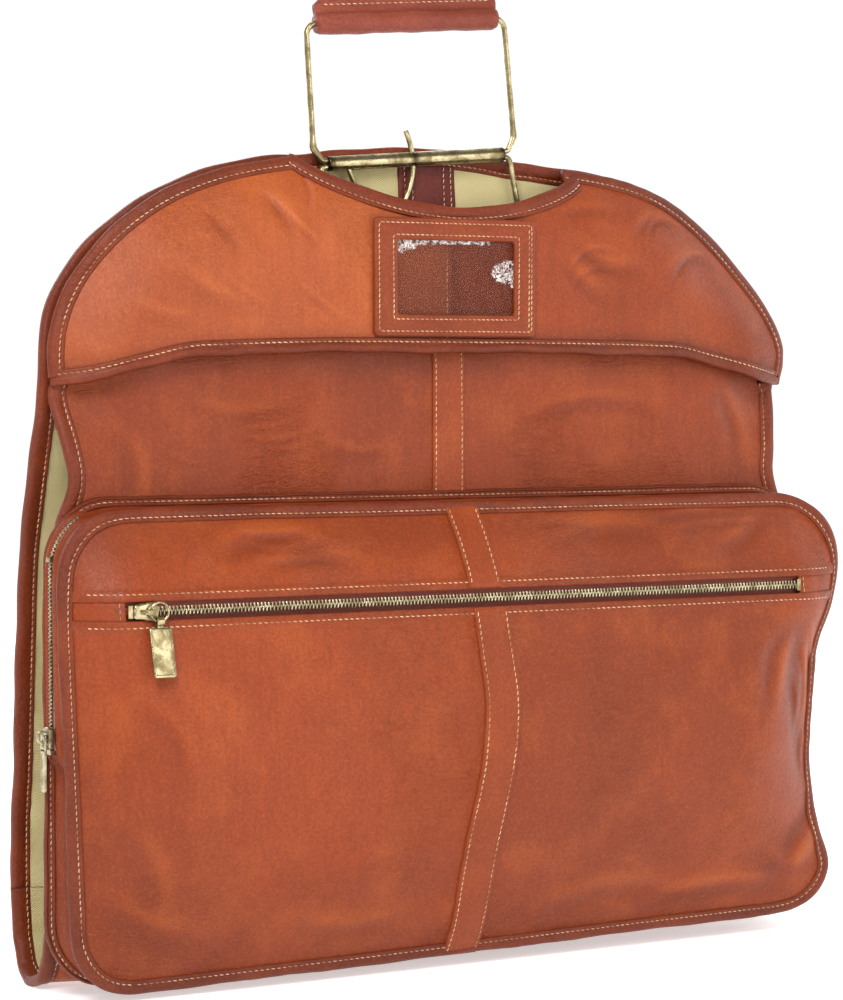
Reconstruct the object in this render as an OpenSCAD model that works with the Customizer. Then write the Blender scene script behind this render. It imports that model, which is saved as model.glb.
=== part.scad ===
// Fold-over leather garment bag: one long lined panel folded at the bottom, a shoulder yoke
// over its front, a zipped box pocket, and a wire bail handle on a brass hanger bar.
// X runs to the bag's left-hand edge seen from behind, -Y is the front, +Z is up.

/* [Body] */
// Width of the back panel
body_w = 570; // [540:2:600]
// Height of the back panel above the bottom fold
body_h = 556; // [550:1:562]
// Outside depth of the folded body at the bottom
fold_d = 70; // [60:1:80]
// Radius of the shoulders
shoulder_r = 138; // [125:1:150]
// Height of the shoulders' springing line
shoulder_z = 402; // [398:1:406]
// Depth between yoke and back panel at the shoulders
shoulder_d = 46; // [42:1:50]
// Height where the back panel starts to belly out
belly_top_z = 382; // [375:1:390]
// Height where the back panel becomes flat again
belly_low_z = 250; // [230:1:270]

/* [Materials] */
// Thickness of the leather
leather_t = 2; // [1.4:0.1:2.2]
// Thickness of the lining cloth
lining_t = 1; // [0.8:0.1:1.2]
// Width of the leather edge binding
binding_w = 10; // [8:0.5:12]
// Thickness of a bound edge
binding_t = 4.5; // [4:0.1:5]

/* [Yoke] */
// Height of the yoke hem at the middle
hem_z = 416; // [412:1:420]
// Height of the yoke hem at the sides
hem_side_z = 396; // [394:1:400]
// Half width of the neck opening
neck_half_w = 107; // [100:1:112]
// Height of the neckline at the middle
neck_low_z = 526; // [520:1:532]
// Width of the card frame
id_w = 125; // [115:1:132]
// Height of the card frame
id_h = 80; // [74:1:84]
// Height of the card frame's centre
id_z = 468; // [466:1:470]
// Width of the card window
window_w = 90; // [84:1:94]
// Height of the card window
window_h = 50; // [46:1:54]

/* [Front half] */
// Width of the front panel
front_w = 566; // [540:2:570]
// Top of the front panel below the yoke hem
front_top_z = 393; // [390:1:394]
// Height of the tucked edge under the yoke
tongue_top_z = 450; // [440:1:456]
// Width of the centre strips
strip_w = 26; // [22:1:30]

/* [Pocket] */
// Width of the pocket
pocket_w = 584; // [570:2:590]
// Lower edge of the pocket
pocket_low_z = 8; // [6:1:12]
// Upper edge of the pocket
pocket_top_z = 316; // [312:1:320]
// Corner radius of the pocket seen from the front
pocket_r = 32; // [28:1:38]
// Depth of the gusset at the sides
gusset_d = 30; // [28:1:32]
// Extra depth where the pocket's front rounds over
pocket_round = 40; // [38:1:42]
// Bow of the pocket's front between top and bottom
pocket_bow = 32; // [31:0.5:33]
// Height of the front zip
zip_z = 253; // [251:1:255]
// Width of the slit for the front zip
slit_w = 18; // [17:0.5:20]
// Length of the front zip's teeth
zip_len = 508; // [480:2:512]
// Top of the side zip's teeth
side_zip_top_z = 283; // [278:1:284]
// Bottom of the side zip's teeth
side_zip_low_z = 163; // [150:1:170]

/* [Handle] */
// Lean of the handle to the side
handle_lean = 4.7; // [0:0.1:5]
// Sideways place of the hanger bar
bar_x = -13; // [-14:1:0]
// Height of the hanger bar
bar_z = 550; // [550:0.5:551]
// Length of the hanger bar
bar_len = 136; // [132:1:140]
// Diameter of the hanger bar
bar_d = 10; // [9.8:0.1:10.4]
// Diameter of the wires
wire_d = 4; // [3.8:0.1:4]
// Height of the bail above its pivots
bail_h = 92; // [85:1:100]
// Length of the leather grip
grip_len = 139; // [130:1:139]
// Depth of the cradle below the bar
cradle_h = 62; // [60:1:64]

/* [Hidden] */

$fn = 96;
big_fn = 1440;           // segments of the very large, shallow bows
far = 700;               // larger than the bag, for clipping shapes
gap = 0.3;               // air between bodies that move past each other

fold_y = 30;                              // middle of the fold, front to back
fold_r = fold_d / 2;
back_y = fold_y + fold_r;                 // outer face of the lower back panel
front_y = fold_y - fold_r;                // outer face of the front panel
upper_back_y = 22;                        // outer face of the back panel behind the yoke
yoke_y = upper_back_y - shoulder_d;       // outer face of the yoke at the middle
yoke_bow = 14;                            // how far the yoke's sides lie behind its middle
yoke_r = (pow(body_w / 2, 2) + pow(yoke_bow, 2)) / (2 * yoke_bow);
neck_edge_z = body_h - 6;                 // height of the top edge at the neck's corners
neck_r = (pow(neck_half_w, 2) + pow(neck_edge_z - 2 - neck_low_z, 2))
    / (2 * (neck_edge_z - 2 - neck_low_z));
neck_binding_w = 10;
hem_flat_x = 200;                         // the hem starts to droop here

pocket_mid_z = (pocket_low_z + pocket_top_z) / 2;
pocket_half_h = (pocket_top_z - pocket_low_z) / 2;
pocket_edge_y = front_y - gusset_d;       // where the front rounds over at the sides
pocket_front_y = pocket_edge_y - pocket_round;
bow_r = (pow(pocket_half_h, 2) + pow(pocket_bow, 2)) / (2 * pocket_bow);
zip_y = pocket_front_y + bow_r - sqrt(pow(bow_r, 2) - pow(zip_z - pocket_mid_z, 2)) + 1.6;
tooth_t = 2.6;
tooth_w = 6.4;
side_zip_y = front_y - 13;
side_zip_x = -(pocket_w / 2) + 0.5;       // middle of the side zip's teeth

slider_len = 16;
slider_x = 8.5 - zip_len / 2;             // closed place of the front slider's middle
side_slider_z = side_zip_low_z + 8;       // closed place of the side slider's middle
ring_r = 6;
ring_wire = 1.8;
ring_y = zip_y - 7.2;                     // plane of the ring
ring_x = slider_x + 1.4 + ring_r;         // the ring hangs beside the slider's bridge
pull_tilt = 15;                           // the pull lies against the bowed pocket

bar_y = 10;
wire_r = wire_d / 2;
shackle_r = 1.85;
bar_bore_r = bar_d / 2 - 0.7;
pin_z = wire_r + 0.1;                     // the two pins lie one over the other in the bore
gate_x = -bar_len / 2 + 14;               // pivot of the shackle along the bar
gate_r = 51;                              // from the shackle's pivot to its free arm
grip_r = 8;
tab_x = 0;
tab_local_x = (tab_x - bar_x - cradle_h * sin(handle_lean)) / cos(handle_lean);
tab_z = bar_z + tab_local_x * sin(handle_lean) - cradle_h * cos(handle_lean);

// Middle of the grip in the bag's own coordinates: the part's origin
origin = [bar_x - (pin_z + bail_h) * sin(handle_lean), bar_y,
    bar_z + (pin_z + bail_h) * cos(handle_lean)];

leather = [0.70, 0.33, 0.20];
dark_leather = [0.50, 0.23, 0.16];
lining = [0.72, 0.66, 0.45];
brass = [0.69, 0.59, 0.35];
nickel = [0.68, 0.66, 0.60];

// ---- helpers ----

// Puts a shape drawn in bag coordinates (fold at z = 0) into the part's frame
module place() { translate(-origin) children(); }

// Puts a shape drawn round the hanger bar's middle into the part's frame
module place_handle() {
    place() translate([bar_x, bar_y, bar_z]) rotate([0, -handle_lean, 0]) children();
}

// Extrudes a front view (x, z) from y0 to y1
module through_y(y0, y1) {
    translate([0, y1, 0]) rotate([90, 0, 0]) linear_extrude(y1 - y0) children();
}

// Extrudes a side view (y, z) across the width w
module across_x(w) {
    translate([-w / 2, 0, 0]) rotate([90, 0, 90]) linear_extrude(w) children();
}

// Box between two corners
module block(a, b) { translate(a) cube(b - a); }

function unit(v) = v / norm(v);

// Angle of the turn from direction u to direction v, positive to the left
function turn(u, v) = atan2(u[0] * v[1] - u[1] * v[0], u[0] * v[0] + u[1] * v[1]);

// Points along a round bend at corner b, and the line through all points (x, z) with a
// bend of the radius in bends at each inner one
function bend_points(a, b, c, bend) = let (
    u = unit(b - a), w = turn(unit(b - a), unit(c - b)), side = sign(w),
    start = b - u * bend * tan(abs(w) / 2),
    centre = start + side * bend * [-u[1], u[0]], arm = start - centre)
    [for (k = [0 : 6]) let (q = w * k / 6)
        centre + [arm[0] * cos(q) - arm[1] * sin(q), arm[0] * sin(q) + arm[1] * cos(q)]];
function bent(points, bends) = let (last = len(points) - 1) concat([points[0]],
    [for (i = [1 : last - 1]) each bend_points(points[i - 1], points[i], points[i + 1], bends[i])],
    [points[last]]);

// Round wire of radius r along a path (x, z)
module tube(path, r) {
    n = 12;
    last = len(path) - 1;
    rings = [for (i = [0 : last]) let (
        u = unit(path[min(i + 1, last)] - path[max(i - 1, 0)]))
        for (k = [0 : n - 1]) let (c = r * cos(360 * k / n))
            [path[i][0] - u[1] * c, r * sin(360 * k / n), path[i][1] + u[0] * c]];
    walls = [for (i = [0 : last - 1], k = [0 : n - 1]) let (a = i * n + k, b = i * n + (k + 1) % n)
        [a, b, b + n, a + n]];
    ends = [[for (k = [n - 1 : -1 : 0]) k], [for (k = [0 : n - 1]) last * n + k]];
    polyhedron(rings, concat(walls, ends), convexity = 4);
}

// Rounded rectangle, centred, of circles and squares
module rounded(w, h, r) {
    square([w - 2 * r, h], center = true);
    square([w, h - 2 * r], center = true);
    for (sx = [-1, 1], sz = [-1, 1])
        translate([sx * (w / 2 - r), sz * (h / 2 - r)]) circle(r = r);
}

// Mirrors a shape to the other side as well
module both_sides() {
    children();
    mirror([1, 0, 0]) children();
}

// ---- outlines seen from the front ----

function shoulder_arc(inset) = [for (a = [0 : 8 : 80])
    [body_w / 2 - shoulder_r + (shoulder_r - inset) * cos(a),
     shoulder_z + (shoulder_r - inset) * sin(a)]];

function half_body(inset) = concat([[body_w / 2 - inset, 0]], shoulder_arc(inset),
    [[neck_half_w - 7, neck_edge_z - inset]]);

function reversed(list) = [for (i = [len(list) - 1 : -1 : 0]) list[i]];

module body_outline(inset) {
    right = half_body(inset);
    left = [for (p = reversed(right)) [-p[0], p[1]]];
    polygon(concat(right, [[0, body_h - inset]], left));
}

module body_rim(w) {
    difference() {
        body_outline(0);
        body_outline(w);
    }
}

module above_hem(rise) {
    polygon([[-far, hem_side_z + rise], [-body_w / 2, hem_side_z + rise],
        [-hem_flat_x, hem_z + rise], [hem_flat_x, hem_z + rise],
        [body_w / 2, hem_side_z + rise], [far, hem_side_z + rise],
        [far, far], [-far, far]]);
}

module neck_circle(grow) {
    translate([0, neck_low_z + neck_r]) circle(r = neck_r + grow, $fn = 360);
}

module yoke_outline(rise, neck_grow) {
    difference() {
        intersection() {
            body_outline(0);
            above_hem(rise);
        }
        neck_circle(neck_grow);
    }
}

module pocket_outline(grow) {
    translate([0, pocket_mid_z])
        rounded(pocket_w + 2 * grow, pocket_top_z - pocket_low_z + 2 * grow, pocket_r + grow);
}

module pocket_rim(outer, inner) {
    difference() {
        pocket_outline(outer);
        pocket_outline(inner);
    }
}

// ---- curved skins ----

// Back panel's side view, as a layer from depth d0 to d1 inside its outer face
module back_profile(d0, d1) {
    polygon([[back_y - d0, fold_r], [back_y - d0, belly_low_z],
        [upper_back_y - d0, belly_top_z], [upper_back_y - d0, far],
        [upper_back_y - d1, far], [upper_back_y - d1, belly_top_z],
        [back_y - d1, belly_low_z], [back_y - d1, fold_r]]);
}

// Quarter of the fold as a layer from depth d0 to d1; side is 1 for the back half
module fold_quarter(w, d0, d1, side) {
    intersection() {
        translate([0, fold_y, fold_r]) rotate([0, 90, 0])
            difference() {
                cylinder(h = w, r = fold_r - d0, center = true);
                cylinder(h = w + 2, r = fold_r - d1, center = true);
            }
        translate([-far / 2, fold_y + (side > 0 ? gap / 2 : -fold_r - gap / 2), 0])
            cube([far, fold_r, fold_r]);
    }
}

// Everything behind the yoke's outer face moved out by o
module yoke_bulk(o) {
    translate([0, yoke_y + yoke_r, 350])
        cylinder(h = 250, r = yoke_r + o, $fn = big_fn);
}

// Layer of the yoke between offsets o0 and o1, cut to a front view
module yoke_layer(o0, o1) {
    intersection() {
        difference() {
            yoke_bulk(o1);
            yoke_bulk(o0);
        }
        through_y(-80, upper_back_y) children();
    }
}

// The pocket's filled shape grown by o
module pocket_bulk(o) {
    hw = pocket_w / 2 + o;
    r = pocket_round + o;
    intersection() {
        linear_extrude(pocket_top_z + 20) {
            translate([-hw, pocket_edge_y]) square([2 * hw, front_y - pocket_edge_y]);
            translate([-(hw - r), pocket_front_y - o])
                square([2 * (hw - r), front_y - pocket_front_y + o]);
            for (s = [-1, 1])
                translate([s * (hw - r), pocket_edge_y]) circle(r = r);
        }
        translate([0, pocket_front_y + bow_r, pocket_mid_z]) rotate([0, 90, 0])
            cylinder(h = 2 * far, r = bow_r + o, center = true, $fn = 720);
    }
}

// Layer of the pocket's front between offsets o0 and o1, cut to a front view
module pocket_layer(o0, o1) {
    intersection() {
        difference() {
            pocket_bulk(o1);
            pocket_bulk(o0);
        }
        through_y(-140, pocket_edge_y) children();
    }
}

// ---- back half ----

module back_panel() {
    color(leather) place() intersection() {
        across_x(body_w) back_profile(0, leather_t);
        through_y(0, back_y) body_outline(binding_w);
    }
}

module back_lining() {
    color(lining) place() intersection() {
        across_x(body_w) back_profile(leather_t, leather_t + lining_t);
        through_y(0, back_y) body_outline(binding_w);
    }
}

module back_edge_binding() {
    color(dark_leather) place() intersection() {
        across_x(body_w) back_profile(0, binding_t);
        through_y(0, back_y) body_rim(binding_w);
    }
}

module fold_back() {
    color(leather) place() fold_quarter(body_w - 2 * binding_w, 0, leather_t, 1);
}

module fold_lining_back() {
    color(lining) place()
        fold_quarter(body_w - 2 * binding_w, leather_t, leather_t + lining_t, 1);
}

module fold_edge(w, side) {
    difference() {
        fold_quarter(w, 0, binding_t, side);
        block([-w / 2 + binding_w, -far, -1], [w / 2 - binding_w, far, fold_r + 1]);
    }
}

module fold_binding_back() { color(dark_leather) place() fold_edge(body_w, 1); }

module inner_strip() {
    strip_y = upper_back_y - leather_t - lining_t;
    color(dark_leather) place()
        block([-21, strip_y - 1.6, 425], [21, strip_y, body_h - binding_w - 1]);
}

// ---- yoke ----

module yoke_half(s) {
    yoke_layer(-leather_t, 0) intersection() {
        yoke_outline(9, neck_binding_w);
        translate([s > 0 ? 0 : -far, 0]) square([far, far]);
    }
}

module yoke_left() { color(leather) place() yoke_half(-1); }
module yoke_right() { color(leather) place() yoke_half(1); }

module yoke_lining() {
    color(lining) place()
        yoke_layer(-leather_t - lining_t, -leather_t) yoke_outline(9, neck_binding_w);
}

module neck_binding() {
    color(dark_leather) place() yoke_layer(-binding_t + 1, 1) intersection() {
        body_outline(binding_w + 0.4);
        difference() {
            neck_circle(neck_binding_w);
            neck_circle(0);
        }
    }
}

module yoke_hem_binding() {
    color(dark_leather) place() yoke_layer(-binding_t + 1, 1) difference() {
        yoke_outline(0, 0);
        above_hem(9);
    }
}

// Band of the shoulder seam that joins the yoke to the back panel
module shoulder_seam_band() {
    color(dark_leather) place() intersection() {
        yoke_bulk(-leather_t - lining_t);
        through_y(-80, upper_back_y - binding_t) intersection() {
            body_rim(4);
            difference() {
                above_hem(9);
                translate([-neck_half_w, 0]) square([2 * neck_half_w, far]);
            }
        }
    }
}

module id_frame() {
    color(leather) place() difference() {
        yoke_layer(0, 2.2) translate([0, id_z]) difference() {
            rounded(id_w, id_h, 3);
            square([window_w, window_h], center = true);
        }
        yoke_layer(-1, 0.8) translate([0, id_z])
            square([window_w + 8, window_h + 8], center = true);
    }
}

module id_window() {
    color([0.8, 0.85, 0.9, 0.4]) place() yoke_layer(0, 0.7)
        translate([0, id_z]) square([window_w + 7, window_h + 7], center = true);
}

// Leather loop riveted to the inner strip; the cradle wire runs through it with play
module hanger_tab() {
    strip_face = upper_back_y - leather_t - lining_t - 1.6;
    loop_r = 4.4;
    color(dark_leather) place() translate([tab_x, 0, 0]) difference() {
        across_x(24) union() {
            translate([bar_y, tab_z]) circle(r = loop_r + 1.8);
            translate([bar_y, tab_z - 42]) square([2, 40]);
            translate([bar_y + 2, tab_z - 42]) square([strip_face - bar_y - 2, 30]);
        }
        translate([0, bar_y, tab_z]) rotate([0, 90, 0])
            cylinder(h = 30, r = loop_r, center = true);
        for (x = [-6, 6]) translate([x, bar_y, tab_z - 27]) rotate([90, 0, 0])
            cylinder(h = 30, r = 1.6, center = true);
    }
}

module hanger_tab_rivets() {
    strip_face = upper_back_y - leather_t - lining_t - 1.6;
    color(brass) place() for (x = [-6, 6]) translate([tab_x + x, 0, tab_z - 27]) {
        translate([0, strip_face, 0]) rotate([90, 0, 0])
            cylinder(h = strip_face - bar_y, r = 1.55);
        translate([0, bar_y, 0]) rotate([90, 0, 0]) cylinder(h = 1.5, r = 4);
    }
}

// Two press snaps under the yoke hold the tucked edge of the front half
module snap_ring(y0, y1, r) {
    for (x = [-170, 170]) translate([x, y1, hem_z + 20]) rotate([90, 0, 0])
        cylinder(h = y1 - y0, r = r);
}

module snap_sockets() {
    color(brass) place() intersection() {
        snap_ring(yoke_y, yoke_y + 13.2, 6.5);
        yoke_bulk(-leather_t - lining_t);
    }
}

// ---- front half ----

module fold_front() {
    color(leather) place() fold_quarter(front_w - 2 * binding_w, 0, leather_t, -1);
}

module fold_lining_front() {
    color(lining) place()
        fold_quarter(front_w - 2 * binding_w, leather_t, leather_t + lining_t, -1);
}

module fold_binding_front() { color(dark_leather) place() fold_edge(front_w, -1); }

module front_panel() {
    hw = front_w / 2 - binding_w;
    color(leather) place()
        block([-hw, front_y, fold_r], [hw, front_y + leather_t, front_top_z]);
}

module front_lining() {
    hw = front_w / 2 - binding_w;
    y0 = front_y + leather_t;
    color(lining) place() block([-hw, y0, fold_r], [hw, y0 + lining_t, front_top_z]);
}

module front_edge_binding() {
    color(dark_leather) place() both_sides()
        block([front_w / 2 - binding_w, front_y, fold_r],
            [front_w / 2, front_y + binding_t, front_top_z]);
}

module front_tongue() {
    hw = front_w / 2 - 14;
    color(leather) place()
        block([-hw, front_y, front_top_z], [hw, front_y + leather_t, tongue_top_z]);
}

module snap_studs() {
    color(brass) place() snap_ring(yoke_y + 13.6, front_y, 5.5);
}

module front_strip() {
    color(leather) place()
        block([-strip_w / 2, front_y - 1.4, pocket_top_z + 3.5],
            [strip_w / 2, front_y, front_top_z]);
}

// ---- pocket ----

module pocket_gusset() {
    color(dark_leather) place() difference() {
        intersection() {
            pocket_bulk(0);
            through_y(-140, front_y) pocket_rim(0, -2.2);
        }
        block([-pocket_w / 2 - 5, side_zip_y - 7, side_zip_low_z - 5],
            [-pocket_w / 2 + 5, side_zip_y + 7, side_zip_top_z + 4]);
    }
}

module pocket_rear_piping() {
    color(dark_leather) place() through_y(front_y - 4, front_y) pocket_rim(3, 0);
}

module pocket_front_binding() {
    color(dark_leather) place() pocket_layer(0, 3) pocket_rim(-0.4, -9);
}

module pocket_upper_panel() {
    color(leather) place() pocket_layer(0, leather_t) intersection() {
        pocket_outline(-9);
        translate([-far, zip_z + slit_w / 2]) square([2 * far, far]);
    }
}

module pocket_lower_panel() {
    color(leather) place() pocket_layer(0, leather_t) difference() {
        pocket_outline(-9);
        translate([-far, zip_z - slit_w / 2]) square([2 * far, far]);
    }
}

module pocket_strip(z0, z1) {
    pocket_layer(leather_t, leather_t + 1.4)
        translate([-strip_w / 2, z0]) square([strip_w, z1 - z0]);
}

module pocket_upper_strip() {
    color(leather) place() pocket_strip(zip_z + slit_w / 2, pocket_top_z - 9);
}

module pocket_lower_strip() {
    color(leather) place() pocket_strip(pocket_low_z + 9, zip_z - slit_w / 2 - 3);
}

// ---- zips ----

module zip_tape() {
    color(dark_leather) place()
        block([-zip_len / 2 - 8, zip_y + 3.2, zip_z - 13],
            [zip_len / 2 + 8, zip_y + 4, zip_z + 13]);
}

module zip_teeth() {
    color(nickel) place()
        block([-zip_len / 2, zip_y - tooth_t / 2, zip_z - tooth_w / 2],
            [zip_len / 2, zip_y + tooth_t / 2, zip_z + tooth_w / 2]);
}

module zip_stops() {
    color(brass) place() both_sides()
        block([zip_len / 2, zip_y - 2, zip_z - 4], [zip_len / 2 + 3, zip_y + 3.2, zip_z + 4]);
}

module zip_end_tabs() {
    x0 = zip_len / 2 + 3.4;
    x1 = pocket_w / 2 - 9.2;
    color(leather) place() both_sides() pocket_layer(-1.8, 0)
        translate([x0, zip_z - slit_w / 2 - 3]) square([x1 - x0, slit_w + 6]);
}

module side_zip_tape() {
    x0 = side_zip_x + 3.2;
    color(dark_leather) place()
        block([x0, side_zip_y - 9, side_zip_low_z - 8],
            [x0 + 0.8, side_zip_y + 9, side_zip_top_z + 6]);
}

module side_zip_teeth() {
    color(nickel) place()
        block([side_zip_x - 1.1, side_zip_y - 2.6, side_zip_low_z],
            [side_zip_x + 1.1, side_zip_y + 2.6, side_zip_top_z]);
}

module side_zip_stops() {
    color(brass) place() for (z = [side_zip_low_z - 3, side_zip_top_z])
        block([side_zip_x - 1.6, side_zip_y - 3.2, z],
            [side_zip_x + 3.2, side_zip_y + 3.2, z + 3]);
}

// Slider that runs on a zip: a channel of w by t inside a body, with a bridge on its face.
// It is drawn with the zip along X and its face towards -Y.
module slider_body(length, w, t) {
    wall = 2.2;
    face = -t / 2 - wall;
    difference() {
        block([-length / 2, face, -w / 2 - wall], [length / 2, t / 2 + 1.5, w / 2 + wall]);
        block([-length, -t / 2, -w / 2], [length, t / 2, w / 2]);
    }
    difference() {
        block([-3.5, face - 5.9, -1.6], [4.5, face, 1.6]);
        block([-2, face - 4.6, -2], [3, face + 0.01, 2]);
    }
}

module zip_slider() {
    color(brass) place() translate([slider_x, zip_y, zip_z])
        slider_body(slider_len, tooth_w + 0.8, tooth_t + 0.8);
}

module zip_ring() {
    color(brass) place() translate([ring_x, ring_y, zip_z]) rotate([90, 0, 0])
        rotate_extrude() translate([ring_r, 0]) circle(r = ring_wire / 2);
}

// Flat pull that hangs from a barrel along X at the origin
module pull_plate(w, h, barrel) {
    difference() {
        union() {
            rotate([0, 90, 0]) cylinder(h = barrel, r = 3.1, center = true);
            block([-barrel / 2, -0.8, -5], [barrel / 2, 0.8, 0]);
            translate([0, 0.8, -4 - (h - 4) / 2]) rotate([90, 0, 0])
                linear_extrude(1.6) rounded(w, h - 4, 1.5);
        }
        rotate([0, 90, 0]) cylinder(h = barrel + 2, r = 1.9, center = true);
    }
}

module zip_pull() {
    color(brass) place() translate([ring_x, ring_y, zip_z - ring_r])
        rotate([-pull_tilt, 0, 0]) pull_plate(15, 36, 5);
}

module side_slider() {
    color(nickel) place() translate([side_zip_x, side_zip_y, side_slider_z])
        rotate([-90, 0, 0]) rotate([0, 0, -90]) slider_body(13, 5.9, 2.8);
}

// Flat pull whose top bar lies under the side slider's bridge
module side_pull() {
    color(nickel) place()
        translate([side_zip_x - 5.1, side_zip_y, side_slider_z + 0.5]) rotate([0, 0, -90])
            difference() {
                translate([0, 0.7, -17.1]) rotate([90, 0, 0]) linear_extrude(1.4)
                    rounded(8, 36, 1.5);
                block([-2.2, -3, -6.4], [2.2, 3, -0.9]);
            }
}

// ---- handle ----

module hanger_bar() {
    color(brass) place_handle() difference() {
        rotate([0, 90, 0]) cylinder(h = bar_len, r = bar_d / 2, center = true);
        rotate([0, 90, 0]) cylinder(h = bar_len + 2, r = bar_bore_r, center = true);
        block([gate_x - 6, -2.5, -bar_d], [gate_x + 5, 2.5, 0]);
        translate([gate_x + gate_r - 0.1, 0, -bar_d]) cylinder(h = 2 * bar_d, r = 2.5);
        translate([gate_x, 0, 0]) rotate([90, 0, 0]) cylinder(h = 12, r = 1.25, center = true);
    }
}

module shackle_pin() {
    color(brass) place_handle() translate([gate_x, 0, 0]) rotate([90, 0, 0])
        cylinder(h = bar_d - 0.4, r = 1.25, center = true);
}

// Suspension wire from both ends of the bar through the leather tab
module cradle_wire() {
    end_x = bar_len / 2;
    right = [[end_x - 7, -pin_z], [end_x + 5, -pin_z], [end_x + 13, -cradle_h]];
    left = [for (p = reversed(right)) [-p[0], p[1]]];
    color(brass) place_handle()
        tube(bent(concat(right, left), [0, 4, 9, 9, 4, 0]), wire_r);
}

// Wire loop hinged on a cross pin; its free arm is an arc round the pin and passes
// through the bar
module shackle() {
    low = -55;
    high = 23;
    arc_start = gate_r * [cos(low), sin(low)];
    corner = arc_start + 14 * [sin(low), -cos(low)];
    color(brass) place_handle() translate([gate_x, 0, 0]) {
        difference() {
            rotate([90, 0, 0]) cylinder(h = 3.8, r = 3.3, center = true);
            rotate([90, 0, 0]) cylinder(h = 6, r = 1.32, center = true);
        }
        tube(concat(bent([[0.8, -2.6], corner, arc_start], [0, 8, 0]),
            [for (q = [low + 3 : 3 : high]) gate_r * [cos(q), sin(q)]]), shackle_r);
    }
}

module bail_wire() {
    end_x = bar_len / 2;
    right = [[end_x - 7, 0], [end_x + 4, 0], [end_x + 10, 9], [end_x + 8.5, bail_h]];
    left = [for (p = reversed(right)) [-p[0], p[1]]];
    color(brass) place_handle() translate([0, 0, pin_z])
        tube(bent(concat(right, left), [0, 3, 5, 8, 8, 5, 3, 0]), wire_r);
}

module grip_sleeve() {
    color(dark_leather) place_handle() translate([0, 0, pin_z + bail_h]) difference() {
        union() {
            rotate([0, 90, 0]) cylinder(h = grip_len - 4, r = grip_r, center = true);
            block([-grip_len / 2, -2.2, 3], [grip_len / 2, 2.2, 16]);
        }
        rotate([0, 90, 0]) cylinder(h = grip_len + 2, r = wire_r, center = true);
    }
}

back_panel();
back_lining();
back_edge_binding();
fold_back();
fold_lining_back();
fold_binding_back();
inner_strip();
yoke_left();
yoke_right();
yoke_lining();
neck_binding();
yoke_hem_binding();
shoulder_seam_band();
id_frame();
id_window();
hanger_tab();
hanger_tab_rivets();
snap_sockets();
fold_front();
fold_lining_front();
fold_binding_front();
front_panel();
front_lining();
front_edge_binding();
front_tongue();
front_strip();
snap_studs();
pocket_gusset();
pocket_rear_piping();
pocket_front_binding();
pocket_upper_panel();
pocket_lower_panel();
pocket_upper_strip();
pocket_lower_strip();
zip_tape();
zip_teeth();
zip_stops();
zip_end_tabs();
side_zip_tape();
side_zip_teeth();
side_zip_stops();
zip_slider();
zip_ring();
zip_pull();
side_slider();
side_pull();
hanger_bar();
cradle_wire();
shackle_pin();
shackle();
bail_wire();
grip_sleeve();
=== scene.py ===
"""Leather garment bag: the looks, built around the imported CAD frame.

Shapes are worked out in the bag's own millimetres: x to the right seen from the front, y away
from the viewer, z up from the lowest line of the bottom fold. row() turns them into the frame.
"""
import math

import bmesh
import bpy
import numpy as np
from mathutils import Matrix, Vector


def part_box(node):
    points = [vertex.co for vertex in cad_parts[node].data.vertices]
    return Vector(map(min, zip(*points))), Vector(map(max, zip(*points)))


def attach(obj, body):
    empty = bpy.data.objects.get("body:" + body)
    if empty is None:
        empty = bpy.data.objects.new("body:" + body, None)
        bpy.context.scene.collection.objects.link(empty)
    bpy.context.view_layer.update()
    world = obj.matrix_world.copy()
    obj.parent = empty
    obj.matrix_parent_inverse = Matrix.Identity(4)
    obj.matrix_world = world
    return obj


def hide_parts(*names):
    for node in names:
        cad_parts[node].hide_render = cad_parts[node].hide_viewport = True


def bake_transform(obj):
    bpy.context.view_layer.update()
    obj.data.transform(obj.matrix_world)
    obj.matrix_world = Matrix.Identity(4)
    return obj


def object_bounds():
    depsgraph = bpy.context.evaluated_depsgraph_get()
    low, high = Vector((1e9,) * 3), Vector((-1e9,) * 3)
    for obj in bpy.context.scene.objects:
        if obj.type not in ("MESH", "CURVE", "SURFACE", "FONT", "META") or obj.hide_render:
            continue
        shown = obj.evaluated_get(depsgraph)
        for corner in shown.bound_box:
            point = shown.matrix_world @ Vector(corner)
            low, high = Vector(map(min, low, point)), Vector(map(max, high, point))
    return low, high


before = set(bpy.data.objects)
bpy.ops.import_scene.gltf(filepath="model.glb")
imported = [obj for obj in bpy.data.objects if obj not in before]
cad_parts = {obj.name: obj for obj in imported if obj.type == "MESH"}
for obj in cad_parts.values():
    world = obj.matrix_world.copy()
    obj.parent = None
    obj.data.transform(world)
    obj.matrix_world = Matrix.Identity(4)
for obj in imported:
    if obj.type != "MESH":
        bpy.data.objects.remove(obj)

cad_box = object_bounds()
MM = 0.001
LEFT, FRONT, DOWN = (-1, 0, 0), (0, -1, 0), (0, 0, -1)
RIGHT, BACK, UP = (1, 0, 0), (0, 1, 0), (0, 0, 1)


# ---- places taken from the frame ----

def cad_corners(node):
    low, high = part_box(node)
    return np.array(low), np.array(high)


back_low, back_high = cad_corners("back_panel")
ORIGIN = np.array([
    (back_low[0] + back_high[0]) / 2,
    cad_corners("front_panel")[0][1] + 5 * MM,
    cad_corners("fold_back")[0][2],
])


def row(points):
    """Bag millimetres to metres in the row frame."""
    return ORIGIN + np.asarray(points, float) * MM


def bag_box(node):
    """A CAD node's corners in bag millimetres."""
    low, high = cad_corners(node)
    return (low - ORIGIN) / MM, (high - ORIGIN) / MM


def bag_middle(node):
    low, high = bag_box(node)
    return (low + high) / 2


def bag_size(node):
    low, high = bag_box(node)
    return high - low


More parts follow.
